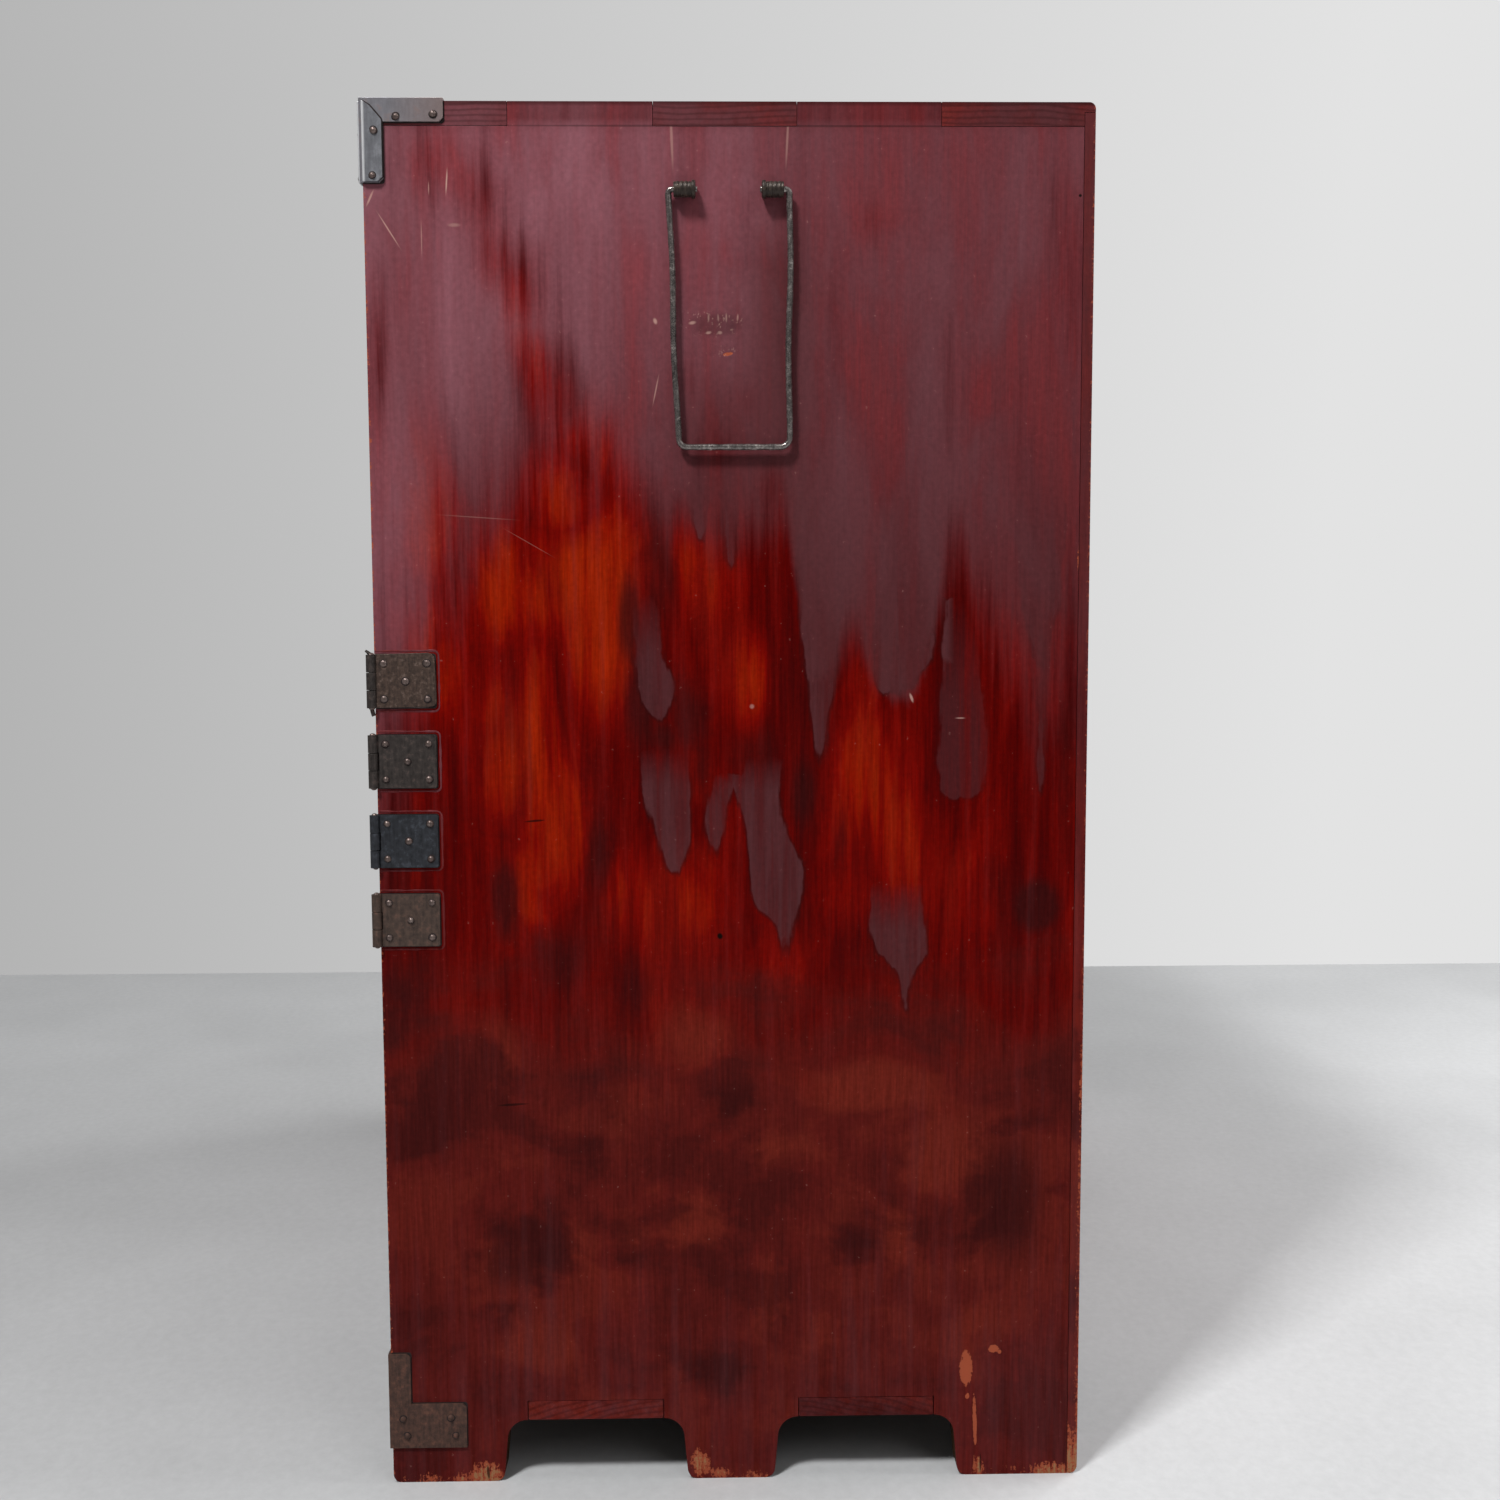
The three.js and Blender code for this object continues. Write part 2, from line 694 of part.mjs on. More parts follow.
// The boards behind the front: [name, body] for each side, the back and the bottom
function drawerBoards([x0, x1], [z0, z1]) {
  const start = drawerFrontThick - drawerLap + seam;
  const end = bodyDepth - drawerBackClear;
  const wallFoot = z0 + drawerBottomThick + seam;
  const walls = [wallFoot, z1 - drawerWallDrop];
  const inside = [x0 + drawerSideThick + seam, x1 - drawerSideThick - seam];
  return [
    ["left_side", block([x0, x0 + drawerSideThick], [start, end], walls)],
    ["right_side", block([x1 - drawerSideThick, x1], [start, end], walls)],
    ["back", block(inside, [end - drawerSideThick, end], walls)],
    ["bottom", block([x0, x1], [start, end], [z0, z0 + drawerBottomThick])],
  ];
}

// The side and back boards of a small drawer, nailed up as one frame
function drawerFrame([x0, x1], [z0, z1]) {
  const start = drawerFrontThick - drawerLap + seam;
  const end = bodyDepth - drawerBackClear;
  const walls = [z0 + drawerBottomThick + seam, z1 - drawerWallDrop];
  const whole = block([x0, x1], [start, end], walls);
  const hollow = block(
    [x0 + drawerSideThick, x1 - drawerSideThick],
    [start - overrun, end - drawerSideThick],
    [walls[0] - overrun, walls[1] + overrun],
  );
  return cut(whole, [hollow]);
}

function pullAxis([x0, x1], [z0, z1]) {
  return { x: (x0 + x1) / 2, y: -pullAxisOut, z: (z0 + z1) / 2 + pullRaise };
}

function pullPlate(axis) {
  const wide = [axis.x - pullPlateWide / 2, axis.x + pullPlateWide / 2];
  const high = [axis.z - pullPlateHigh / 2, axis.z + pullPlateHigh / 2];
  const plate = prism(cutRectangle(wide, high, pullPlateCut), "y", [-seam - sheetThick, -seam]);
  const eyes = [];
  const bores = [];
  for (const side of [-1, 1]) {
    const middle = axis.x + (side * pullEyeSpacing) / 2;
    const along = [middle - pullEyeLength / 2, middle + pullEyeLength / 2];
    const neck = [axis.z - pullEyeRadius / 2, axis.z + pullEyeRadius / 2];
    eyes.push(rod("x", axis, pullEyeRadius, along));
    eyes.push(block(along, [axis.y, -seam], neck));
    bores.push(rod("x", axis, pullBarRadius + pullBoreClear, [along[0] - overrun, along[1] + overrun]));
  }
  return cut(join([plate, ...eyes]), bores);
}

function pullBail(axis) {
  const tip = pullEyeSpacing / 2 - pullEyeLength / 2 - pullTipProud;
  const leg = pullEyeSpacing / 2 + pullEyeLength / 2 + pullShoulderGap + pullBarRadius;
  const at = (x, z) => new THREE.Vector3(axis.x + x, axis.y, axis.z + z);
  const corners = [at(-tip, 0), at(-leg, 0), at(-leg, -pullDrop), at(leg, -pullDrop), at(leg, 0), at(tip, 0)];
  const turn = pullBarRadius + pullShoulderGap - seam;
  const radii = [turn, pullCornerRadius, pullCornerRadius, turn];
  return bentBar(bentRoute(corners, radii), pullBarRadius);
}

function addDrawer(name, opening, heights, boards) {
  const wide = [opening[0] + drawerSideClear, opening[1] - drawerSideClear];
  const high = [heights[0] + seam, heights[1] - drawerTopClear];
  addPiece(chest, `${name}_front`, drawerFront(wide, high), "lacquer");
  for (const [board, body] of boards(wide, high)) addPiece(chest, `${name}_${board}`, body, "bareWood");
  const axis = pullAxis(wide, high);
  addPiece(chest, `${name}_pull_plate`, pullPlate(axis), "blackIron");
  addPiece(chest, `${name}_pull`, pullBail(axis), "blackIron");
}

function smallDrawerBoards(wide, high) {
  const bottom = drawerBoards(wide, high).find(([board]) => board === "bottom");
  return [["frame", drawerFrame(wide, high)], bottom];
}

// Sliding doors and their tracks

// The middle of the front track's groove, and of the one behind it
function trackMiddles() {
  const front = slideTrackFrontWall + slideDoorThick / 2;
  return [front, front + slideDoorThick + slideDoorGap];
}

function slideTrack([z0, z1], [grooveFrom, grooveTo]) {
  const depth = 2 * slideTrackFrontWall + 2 * slideDoorThick + slideDoorGap;
  const reach = innerHalf - seam;
  const rail = block([-reach, reach], [0, depth], [z0, z1]);
  const half = slideTongueThick / 2 + slideTongueClear;
  const grooves = trackMiddles().map((y) =>
    block([-halfWidth, halfWidth], [y - half, y + half], [grooveFrom, grooveTo]));
  return cut(rail, grooves);
}

function lowerTrack() {
  const base = cupboardZ + seam;
  const top = base + slideTrackHigh;
  return slideTrack([base, top], [top - slideLowerGroove, top + overrun]);
}

function upperTrack() {
  const top = topUnder - seam;
  const base = top - slideTrackHigh;
  return slideTrack([base, top], [base - overrun, base + slideUpperGroove]);
}

function fingerCup(x, y, z) {
  const radius = fingerCupWide / 2;
  const run = (fingerCupLength - fingerCupWide) / 2;
  const outline = new THREE.Shape();
  outline.absarc(x, z + run, radius, 0, Math.PI, false);
  outline.absarc(x, z - run, radius, Math.PI, 2 * Math.PI, false);
  return prism(outline, "y", [y - overrun, y + fingerCupDepth]);
}

// A board with a tongue along its top and its foot. side is -1 for the left door and 1 for the right.
function slidingDoor(side, middle) {
  const outer = side * (innerHalf - slideDoorSideClear);
  const inner = (-side * slideDoorOverlap) / 2;
  const wide = [Math.min(outer, inner), Math.max(outer, inner)];
  const faces = [middle - slideDoorThick / 2, middle + slideDoorThick / 2];
  const trackTop = cupboardZ + seam + slideTrackHigh;
  const trackUnder = topUnder - seam - slideTrackHigh;
  const board = easedBoard(wide, faces, [trackTop + slideDoorEndClear, trackUnder - slideDoorEndClear]);
  const tongue = [middle - slideTongueThick / 2, middle + slideTongueThick / 2];
  const foot = trackTop - slideLowerGroove + seam;
  const head = trackUnder + slideLowerGroove;
  const tongues = block(wide, tongue, [foot, head]);
  const cupX = outer - side * fingerCupInset;
  return cut(join([board, tongues]), [fingerCup(cupX, faces[0], (trackTop + trackUnder) / 2)]);
}

// The chest, piece by piece

const shelfGrooves = [
  [dustZ, dustThick],
  [lowerShelfZ, shelfThick],
  [upperShelfZ, shelfThick],
];
const rightFlank = flank(1);
const leftFlank = flank(-1);
addPiece(rightFlank, "right_side_panel", sidePanel(shelfGrooves, hingeReliefs()), "lacquer");
addPiece(leftFlank, "left_side_panel", sidePanel([...shelfGrooves, [dividerZ, dustThick]], []), "lacquer");
addPiece(chest, "top_board", topBoard(), "lacquer");
addPiece(chest, "bottom_board", bottomBoard(), "lacquer");
backBoards().forEach((board, index) => addPiece(chest, `back_board_${index + 1}`, board, "lacquer"));

const lowerHousing = partitionHousing(middleZ - housingDepth, middleZ + overrun);
const upperHousing = partitionHousing(upperShelfZ - overrun, upperShelfZ + housingDepth);
addPiece(chest, "drawer_dust_board", crossBoard(dustZ, dustThick), "bareWood");
addPiece(chest, "lower_shelf", cut(crossBoard(lowerShelfZ, shelfThick), [lowerHousing]), "lacquer");
addPiece(chest, "upper_shelf", cut(crossBoard(upperShelfZ, shelfThick), [upperHousing]), "lacquer");
addPiece(chest, "middle_partition", partition(), "lacquer");
addPiece(chest, "small_drawer_divider", smallDrawerDivider(), "lacquer");

for (const [label, group] of [["right", rightFlank], ["left", leftFlank]]) {
  const [frontEye, backEye] = carryEyeMiddles();
  addPiece(group, `${label}_carry_bail`, carryBail(), "blackIron");
  addPiece(group, `${label}_bail_eye_front`, carryEye(frontEye), "blackIron");
  addPiece(group, `${label}_bail_eye_back`, carryEye(backEye), "blackIron");
  addPiece(group, `${label}_top_bracket`, topBracket(), "brightIron");
  addPiece(group, `${label}_bottom_bracket`, bottomBracket(), "rustyIron");
}

const wideOpening = [-innerHalf, innerHalf];
const narrowOpening = [-innerHalf, partitionLeft];
addDrawer("lower_drawer", wideOpening, [floorTop, dustZ], drawerBoards);
addDrawer("middle_drawer", wideOpening, [dustZ + dustThick, lowerShelfZ], drawerBoards);
addDrawer("small_drawer_lower", narrowOpening, [middleZ, dividerZ], smallDrawerBoards);
addDrawer("small_drawer_upper", narrowOpening, [dividerZ + dustThick, upperShelfZ], smallDrawerBoards);

addPiece(chest, "safe_door", safeDoor(), "lacquer");
addPiece(chest, "safe_door_lock_plate", lockPlate(), "blackIron");
hingeCentres().forEach((z, index) => {
  const cornerCut = index === 0 ? hingeOldCornerCut : hingeCornerCut;
  addPiece(chest, `hinge_side_leaf_${index + 1}`, hingeSideLeaf(z, cornerCut), "rustyIron");
  addPiece(chest, `hinge_door_leaf_${index + 1}`, hingeDoorLeaf(z, cornerCut), "rustyIron");
});

const [frontTrack, backTrack] = trackMiddles();
addPiece(chest, "sliding_door_track_lower", lowerTrack(), "lacquer");
addPiece(chest, "sliding_door_track_upper", upperTrack(), "lacquer");
addPiece(chest, "sliding_door_right", slidingDoor(1, frontTrack), "lacquer");
addPiece(chest, "sliding_door_left", slidingDoor(-1, backTrack), "lacquer");

export default chest;
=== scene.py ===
"""An old lacquered ship chest with forged iron fittings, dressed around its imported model.

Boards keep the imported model's joinery. Sheet iron, bars, eyes and nails are worked out here.
Lengths in the pattern tables are millimetres: y back from the front edge, z up from the floor.
"""
import functools
import math

import bmesh
import bpy
import numpy as np
from mathutils import Matrix, Vector


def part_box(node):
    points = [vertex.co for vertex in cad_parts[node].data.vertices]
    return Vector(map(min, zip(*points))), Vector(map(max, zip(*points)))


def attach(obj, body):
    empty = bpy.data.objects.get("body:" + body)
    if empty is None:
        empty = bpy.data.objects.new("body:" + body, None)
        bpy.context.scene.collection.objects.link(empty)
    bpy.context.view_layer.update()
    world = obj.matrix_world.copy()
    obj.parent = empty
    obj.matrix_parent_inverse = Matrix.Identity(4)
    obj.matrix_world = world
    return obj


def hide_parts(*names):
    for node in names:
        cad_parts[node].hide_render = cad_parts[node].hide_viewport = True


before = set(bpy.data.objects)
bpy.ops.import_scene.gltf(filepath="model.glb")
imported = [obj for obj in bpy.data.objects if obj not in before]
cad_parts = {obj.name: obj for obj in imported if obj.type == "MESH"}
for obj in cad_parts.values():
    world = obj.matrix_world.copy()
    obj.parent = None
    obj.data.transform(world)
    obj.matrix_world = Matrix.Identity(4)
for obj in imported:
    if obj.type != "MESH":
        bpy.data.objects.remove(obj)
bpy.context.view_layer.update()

bl_info = {
    "name": "Ship chest",
    "version": (1, 0, 0),
    "blender": (4, 5, 0),
    "location": "3D View > Sidebar > Ship chest",
    "description": "Builds an old lacquered ship chest, its forged iron and a plain studio",
    "category": "Add Mesh",
}

MM = 0.001
FLANKS = (("right", 1), ("left", -1))
DRAWERS = ("lower_drawer", "middle_drawer", "small_drawer_lower", "small_drawer_upper")

# Places taken from the frame, in metres
SIDE_LOW, SIDE_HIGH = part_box("right_side_panel")
BOARD_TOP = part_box("top_board")[1]
FRONT = SIDE_LOW.y
FACE = SIDE_HIGH.x
TOP = BOARD_TOP.z
BACK = BOARD_TOP.y
CASE_DEPTH = (BACK - FRONT) / MM
CASE_HEIGHT = TOP / MM
CASE_HALF = FACE / MM
FILM = 1.4  # how far in from the outer faces the lacquer reaches, in millimetres
CASE_RIM, DRAWER_RIM = 34.0, 2.8  # how far in it reaches from the front, on the case and drawers
UNDERSIDE = 53.0  # below it the bare timber is nearly black: dirt and painted shade under the chest, in millimetres
OUTSIDE = -8.0  # the drips' depth at every point well away from them, in millimetres

# Where the side's colour changes: y, z, half width, half height, turn in degrees, strength
GLOW_PLACES = (
    (142, 564, 40, 110, 0, 1.0), (89, 400, 34, 80, 0, 0.6), (122, 440, 36, 100, 0, 0.75),
    (126, 588, 58, 60, 0, 0.95), (28, 640, 52, 95, 0, 0.75), (34, 540, 44, 80, 0, 0.7),
    (204, 585, 40, 34, 0, 0.3), (239, 526, 24, 48, 0, 0.6), (306, 449, 45, 90, 0, 0.65),
    (334, 430, 38, 78, 0, 0.4), (407, 550, 38, 63, 0, 0.35), (389, 384, 32, 85, 0, 0.4),
    (152, 386, 32, 58, 0, 0.5), (204, 386, 32, 45, 0, 0.45), (267, 346, 38, 46, 0, 0.4),
    (80, 590, 40, 95, 0, 0.8), (172, 779, 22, 42, 0, 0.25), (92, 745, 26, 95, 18, 0.75),
    (137, 682, 34, 62, 20, 0.6), (192, 601, 38, 38, 0, 0.4), (41, 845, 34, 40, 0, 0.3),
    (118, 640, 36, 50, 10, 0.7), (300, 385, 30, 50, 0, 0.5), (88, 480, 52, 110, 0, 0.9),
)
# The hanging lower edge of the bloom on the side: y, z, softness
HAZE_EDGE = (
    (3, 490, 200), (23, 540, 160), (40, 625, 130), (55, 630, 109), (71, 648, 96),
    (87, 657, 96), (103, 688, 96), (119, 694, 83), (134, 676, 77), (149, 679, 70),
    (165, 657, 51), (180, 629, 45), (196, 626, 32), (212, 610, 38), (227, 623, 38),
    (242, 620, 45), (257, 638, 38), (266, 586, 26), (275, 520, 26), (290, 535, 26),
    (302, 562, 40), (310, 535, 18), (324, 513, 9), (338, 513, 8), (350, 548, 19),
    (359, 585, 45), (372, 600, 55), (384, 585, 65), (400, 562, 110), (416, 525, 130),
    (432, 545, 130), (448, 540, 130),
)
HAZE_GAPS = (
    (48, 845, 50, 52, 15, 0.5), (70, 825, 36, 66, 25, 0.6), (90, 778, 36, 76, 25, 0.7),
    (110, 715, 36, 74, 22, 0.66), (131, 660, 34, 62, 15, 0.6), (6, 735, 24, 100, 0, 0.6),
    (29, 827, 16, 14, 0, 0.3), (169, 785, 14, 46, 0, 0.4), (311, 809, 40, 28, 0, 0.35),
    (365, 700, 24, 90, 0, 0.35), (235, 700, 22, 26, 0, 0.35), (290, 760, 18, 70, 0, 0.3),
    (215, 668, 30, 26, 0, 0.35), (436, 780, 32, 130, 0, 0.5), (250, 650, 18, 32, 0, 0.45),
    (199, 712, 9, 34, 0, 0.35), (365, 600, 15, 70, 0, 0.5), (405, 660, 20, 90, 0, 0.3),
)
DARK_PLACES = (
    (177, 601, 25, 69, 0, 0.5), (166, 514, 19, 57, 0, 0.6), (140, 418, 14, 39, 0, 0.3),
    (80, 385, 15, 42, 0, 0.7), (198, 501, 25, 51, 0, 0.5), (236, 480, 29, 30, 0, 0.4),
    (19, 393, 38, 130, 0, 0.3), (29, 243, 38, 86, 0, 0.15), (138, 249, 39, 66, 0, 0.45),
    (165, 327, 26, 39, 0, 0.4), (84, 148, 56, 44, 10, 0.85), (80, 118, 34, 27, -15, 0.55),
    (300, 167, 39, 61, 0, 0.5), (402, 186, 48, 92, 0, 0.95), (219, 248, 39, 26, 0, 0.3),
    (163, 140, 39, 20, -20, 0.25), (201, 74, 59, 34, 0, 0.5), (332, 346, 39, 39, 0, 0.3),
    (420, 380, 22, 25, 0, 0.95), (114, 347, 32, 32, 0, 0.35), (160, 565, 12, 50, 0, 0.8),
    (11, 322, 19, 79, 0, 0.3), (205, 470, 14, 36, 0, 0.45), (182, 490, 20, 18, 0, 0.5),
    (293, 425, 8, 34, 0, 0.35), (270, 452, 14, 34, 0, 0.45), (438, 470, 10, 90, 0, 0.4),
)
RUST_PLACES = (
    (124, 163, 39, 34, 0, 0.3), (198, 172, 42, 36, 0, 0.8), (248, 125, 28, 52, 0, 0.6),
    (318, 262, 58, 28, 0, 0.75), (352, 215, 46, 40, 0, 0.6), (97, 89, 39, 27, 0, 0.5),
    (334, 162, 24, 40, 0, 0.6), (176, 202, 26, 20, 0, 0.3), (385, 92, 33, 41, 0, 0.3),
    (72, 277, 36, 53, 0, 0.5), (203, 294, 39, 39, 0, 0.4), (280, 87, 26, 41, 0, 0.3),
    (129, 55, 52, 20, 0, 0.3), (247, 220, 40, 26, 0, 0.5), (158, 166, 26, 26, 0, 0.6),
)
# Drips of the bloom: how strong each is, then its rows from its tip up, each of z, the middle's
# y and the half width. It fades over the stretch between its last two rows.
DRIPS = (
    (0.9, ((500, 180, 3), (507, 178, 8), (522, 176, 12.5), (542, 172, 9.5), (580, 170, 7))),
    (1.0, ((401, 187, 3), (409, 187, 7), (428, 187, 12), (447, 184, 15), (458, 182, 16.5),
           (482, 181, 15))),
    (0.75, ((410, 212.5, 1), (420, 213, 3.5), (430, 213, 6.5), (447, 215, 8), (468, 222, 9))),
    (1.0, ((346, 258, 1.5), (358, 258, 3.5), (369, 257, 7), (378, 254, 12.5), (388, 253, 16.5),
           (409, 252, 17.5), (424, 247, 14), (440, 243, 12), (455, 240, 15.5), (476, 245, 12))),
    (1.0, ((470, 281, 1), (495, 280, 6), (509, 280, 8), (525, 281, 10), (561, 280, 13),
           (600, 282, 16), (680, 282, 16))),
    (1.0, ((517, 324, 4), (522, 324, 10.5), (537, 333, 20), (580, 335, 19), (680, 334, 21))),
    (1.0, ((520, 338, 2), (528, 338, 5), (537, 338, 7), (560, 338, 7))),
    (0.45, ((449, 370, 9), (456, 370, 15), (484, 371, 16.5), (510, 370, 14), (575, 368, 9))),
    (0.9, ((311, 335, 1), (328, 335, 3.5), (337, 335, 6), (348, 334, 15), (364, 330, 19),
           (396, 329, 17))),
    (0.8, ((596, 224, 1.5), (606, 224, 4), (632, 224, 5), (670, 224, 5))),
    (0.8, ((612, 205, 1.5), (625, 205, 5), (645, 205, 6), (680, 205, 6))),
    (0.7, ((452, 421, 1), (470, 421, 3), (500, 421, 3.5), (560, 421, 4))),
    (0.8, ((540, 419, 4), (570, 419, 12), (620, 419, 15), (680, 419, 15))),
)
# Orange undercoat in larger chips, then pale nicks and scratches, then dark holes and dents
CHIP_PLACES = (
    (376, 73, 6.4, 18, 0, 1.0), (394, 86, 5.5, 4, 0, 1.0),
    (382, 37, 2.0, 27, 2, 0.9), (443, 600, 2, 19, 0, 0.4), (223, 728, 5, 2, 10, 0.7),
    (398, 84, 2, 2, 0, 1.0), (377, 54, 2, 3, 0, 1.0),
)
SCRATCH_PLACES = (
    (237, 509, 2, 2, 40, 0.5), (338, 514, 1.2, 4, 20, 0.9), (369, 501, 4, 0.6, 0, 0.8),
    (51, 832, 0.7, 10, -4, 1.0), (40, 828, 0.5, 5, 0, 0.6), (189, 858, 1.2, 23, 2, 0.45),
    (260, 858, 1.0, 22, -3, 0.4), (15, 803, 0.6, 16, 32, 0.8), (35, 798, 0.5, 14, 0, 0.5),
    (4, 822, 0.9, 7, -25, 0.8), (55, 806, 5, 1.6, 0, 0.4), (178, 748, 1.6, 2.6, 20, 0.9),
    (201, 747, 3, 1.4, 10, 0.9), (211, 750, 0.8, 3.4, 0, 0.7), (217, 750, 0.8, 3, 5, 0.6),
    (222, 750, 0.8, 3.6, 0, 0.7), (229, 750, 0.8, 3, -5, 0.6), (211, 741, 2.4, 1.2, 10, 0.9),
    (218, 741, 2, 1.4, 0, 0.8), (178, 706, 0.6, 12, -12, 0.6), (66, 628, 0.5, 30, 86, 0.22),
    (98, 612, 0.4, 22, 60, 0.2),
)
HOLE_PLACES = (
    (392, 874, 1.8, 1.8, 0, 1.0), (440, 872, 1.4, 1.4, 0, 1.0), (441, 824, 1.2, 1.2, 0, 1.0),
    (216, 362, 2.2, 2.6, 20, 1.0), (8, 56, 1.6, 1.6, 0, 1.0), (216, 746, 20, 9, 0, 0.3),
    (99, 437, 8, 0.9, 4, 0.8), (82, 253, 12, 1, 3, 0.7), (62, 6, 1.2, 6, 5, 0.8),
    (386, 8, 0.8, 8, 0, 0.8), (235, 865.4, 215, 0.9, 0, 0.45),
)
# Where the hand and the bail have scuffed the bloom into many small tan marks
SCUFF_PLACES = ((211, 747, 30, 10, 0, 1.0), (219, 730, 13, 5, 0, 0.9))

# Bare timber and undercoat where the film has broken away at the feet and the back edge
BARE_PLACES = (
    (62, 2, 19, 17, 0, 1.0), (46, 1, 14, 7, 0, 0.8), (201, 11, 9, 14, 0, 1.0),
    (214, 3, 14, 6, 0, 0.8), (384, 5, 5, 12, 0, 1.0), (432, 2, 22, 9, 0, 0.9),
    (448, 22, 7, 34, 0, 0.8), (24, 2, 18, 6, 0, 0.6), (237, 2, 17, 5, 0, 0.7),
    (406, 3, 16, 4, 0, 0.6),
)

# Nail places on the side, y and z
TOP_BRACKET_NAILS = ((21.2, 870.2), (43.7, 871.9), (7.5, 861.7), (6.4, 835.0))
BOTTOM_BRACKET_NAILS = ((7.5, 44.0), (38.5, 44.5), (9.8, 32.5), (41.5, 32.5))
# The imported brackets' widths, and the height of the bottom ones' level arms
TOP_BRACKET_WIDE, BOTTOM_BRACKET_WIDE, BOTTOM_BRACKET_FOOT = 12.7, 12.8, 29.7
HINGE_LOOKS = ("black_iron", "black_iron", "blued_iron", "browned_iron")  # from the top down
HINGE_NAIL_SPREAD = (13.6, 11.2)  # half the spacing of the four corner nails, along and up
HINGE_NAIL_MIDDLE = 19.5  # the middle nail's distance behind the front edge
DOOR_NAIL_MIDDLE = 17.0  # the middle nail's distance in from the door leaf's near edge
SHARP = math.radians(40)  # edges that turn more than this are rounded
WELD = 0.01 * MM  # CAD points closer than this are one, in metres
# The ironwork, in millimetres
SHEET, WORN_SHEET = 1.5, 1.8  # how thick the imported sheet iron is, and the worn leaf over the top one
FLAT_NAILS = 0.65  # how high the worn leaf's nails are, beside the other ones
DIRT_HEIGHT = 0.2 * MM  # how high the dirt lies round a nail, in metres
FOLD_RADII = (0.5, 0.6, 0.6, 3.0, 2.0, 0.3)  # of the fold's corners
FOLD_DIRT = ((0, 0), (0, 0), (0.7, 0), (0.7, 0.7), (0.7, 0.7), (0.2, 0.6))  # how far out it lies
RIDGE_START, RIDGE_BEND, RIDGE_WIDE, RIDGE_HIGH = 0.6, 3.0, 0.6, 0.12  # lacquer round a hinge leaf
BAR_STEP, BAIL_STEP = 1.5 * MM, 1.2 * MM  # ring spacing of ridges and pulls, and of bails, in metres
EYE_EASE = 0.4 * MM  # rounding of the eyes that are driven into the board, in metres
NECK, COLLAR = 0.76, 0.82  # where a rolled eye's neck and collar start, in shares of its length
PIN_OUT, PIN_AHEAD = 1.5, 1.85  # where a hinge pin stands, from the side and from the front
PIN_RADIUS, PIN_END = 1.35, (1.9, 1.3)  # the slipped pin, and the radius and height of its ends
TAB_CURL, PIN_LEAN = 3.2, 1.2  # how far the sprung tab and the slipped pin lean
BAIL_AXIS = 3.3  # the bail's axis under its CAD top
BAR_MIDDLE = 2.5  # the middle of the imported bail's bar, in from its box
BAIL_TIP = 3.0  # how far a bail's ends reach past its eyes
BAIL_LEAN, BAIL_WAVE = 5.7, 0.9  # how the front leg leans, and how uneven the legs are
BAIL_BENDS, PULL_BENDS = (2.4, 5.0, 6.0, 2.4), (2.6, 13.0, 13.0, 2.6)  # radii of their corners
PULL_MIDDLE, PULL_TIP = 2.0, 14.0  # a packed pull's bar and its ends, in from its box
PULL_HAND = 22.0  # the spread of the swelling where the hand takes a pull
PLATE_NAIL_IN, PLATE_NAIL_OUT = 5.0, 10.3  # a pull plate's nails, from its ends and behind its face
LOCK_NAIL_IN, LOCK_NAIL_UP = 12.0, 6.0  # the lock plate's nails, from its ends and edges
# Colours of thin layers that need no setting; the last is a pale rubbed edge that is also a painted
# highlight along a bent sheet's front edge
DIRT_DARK, DIRT_PALE, RUBBED_EDGE_AND_HIGHLIGHT = "#0d0605", "#2c1210", "#e6e6e8"
# The studio's lamps: place and aim in metres, then size and power
LAMPS = {
    "key": ((1.9, -1.1, 3.2), (0.4, 0, 0.4), 0.5, 106),
    "fill": ((2.2, 1.6, 2.4), (0.4, 0.2, 0.3), 1.8, 12),
    "top": ((-0.3, 2.0, 2.2), (0.05, 0.9, 0), 2.0, 66),
    "left": ((-1.4, -2.2, 2.4), (-0.3, -1.0, 0), 1.5, 1),
}


def linear(text):
    """Turns an sRGB hex colour into the linear red, green, blue and alpha that sockets take."""
    parts = np.array([int(text[start:start + 2], 16) for start in (1, 3, 5)]) / 255
    bright = ((parts + 0.055) / 1.055) ** 2.4
    return (*np.where(parts <= 0.04045, parts / 12.92, bright).tolist(), 1.0)


def colour(text, name, description):
    """A colour setting whose default is an sRGB hex value."""
    return bpy.props.FloatVectorProperty(
        name=name, description=description, subtype="COLOR", size=4, min=0, max=1,
        default=linear(text))


def length(value, name, description):
    """A length setting in metres."""
    return bpy.props.FloatProperty(
        name=name, description=description, unit="LENGTH", default=value, min=0)


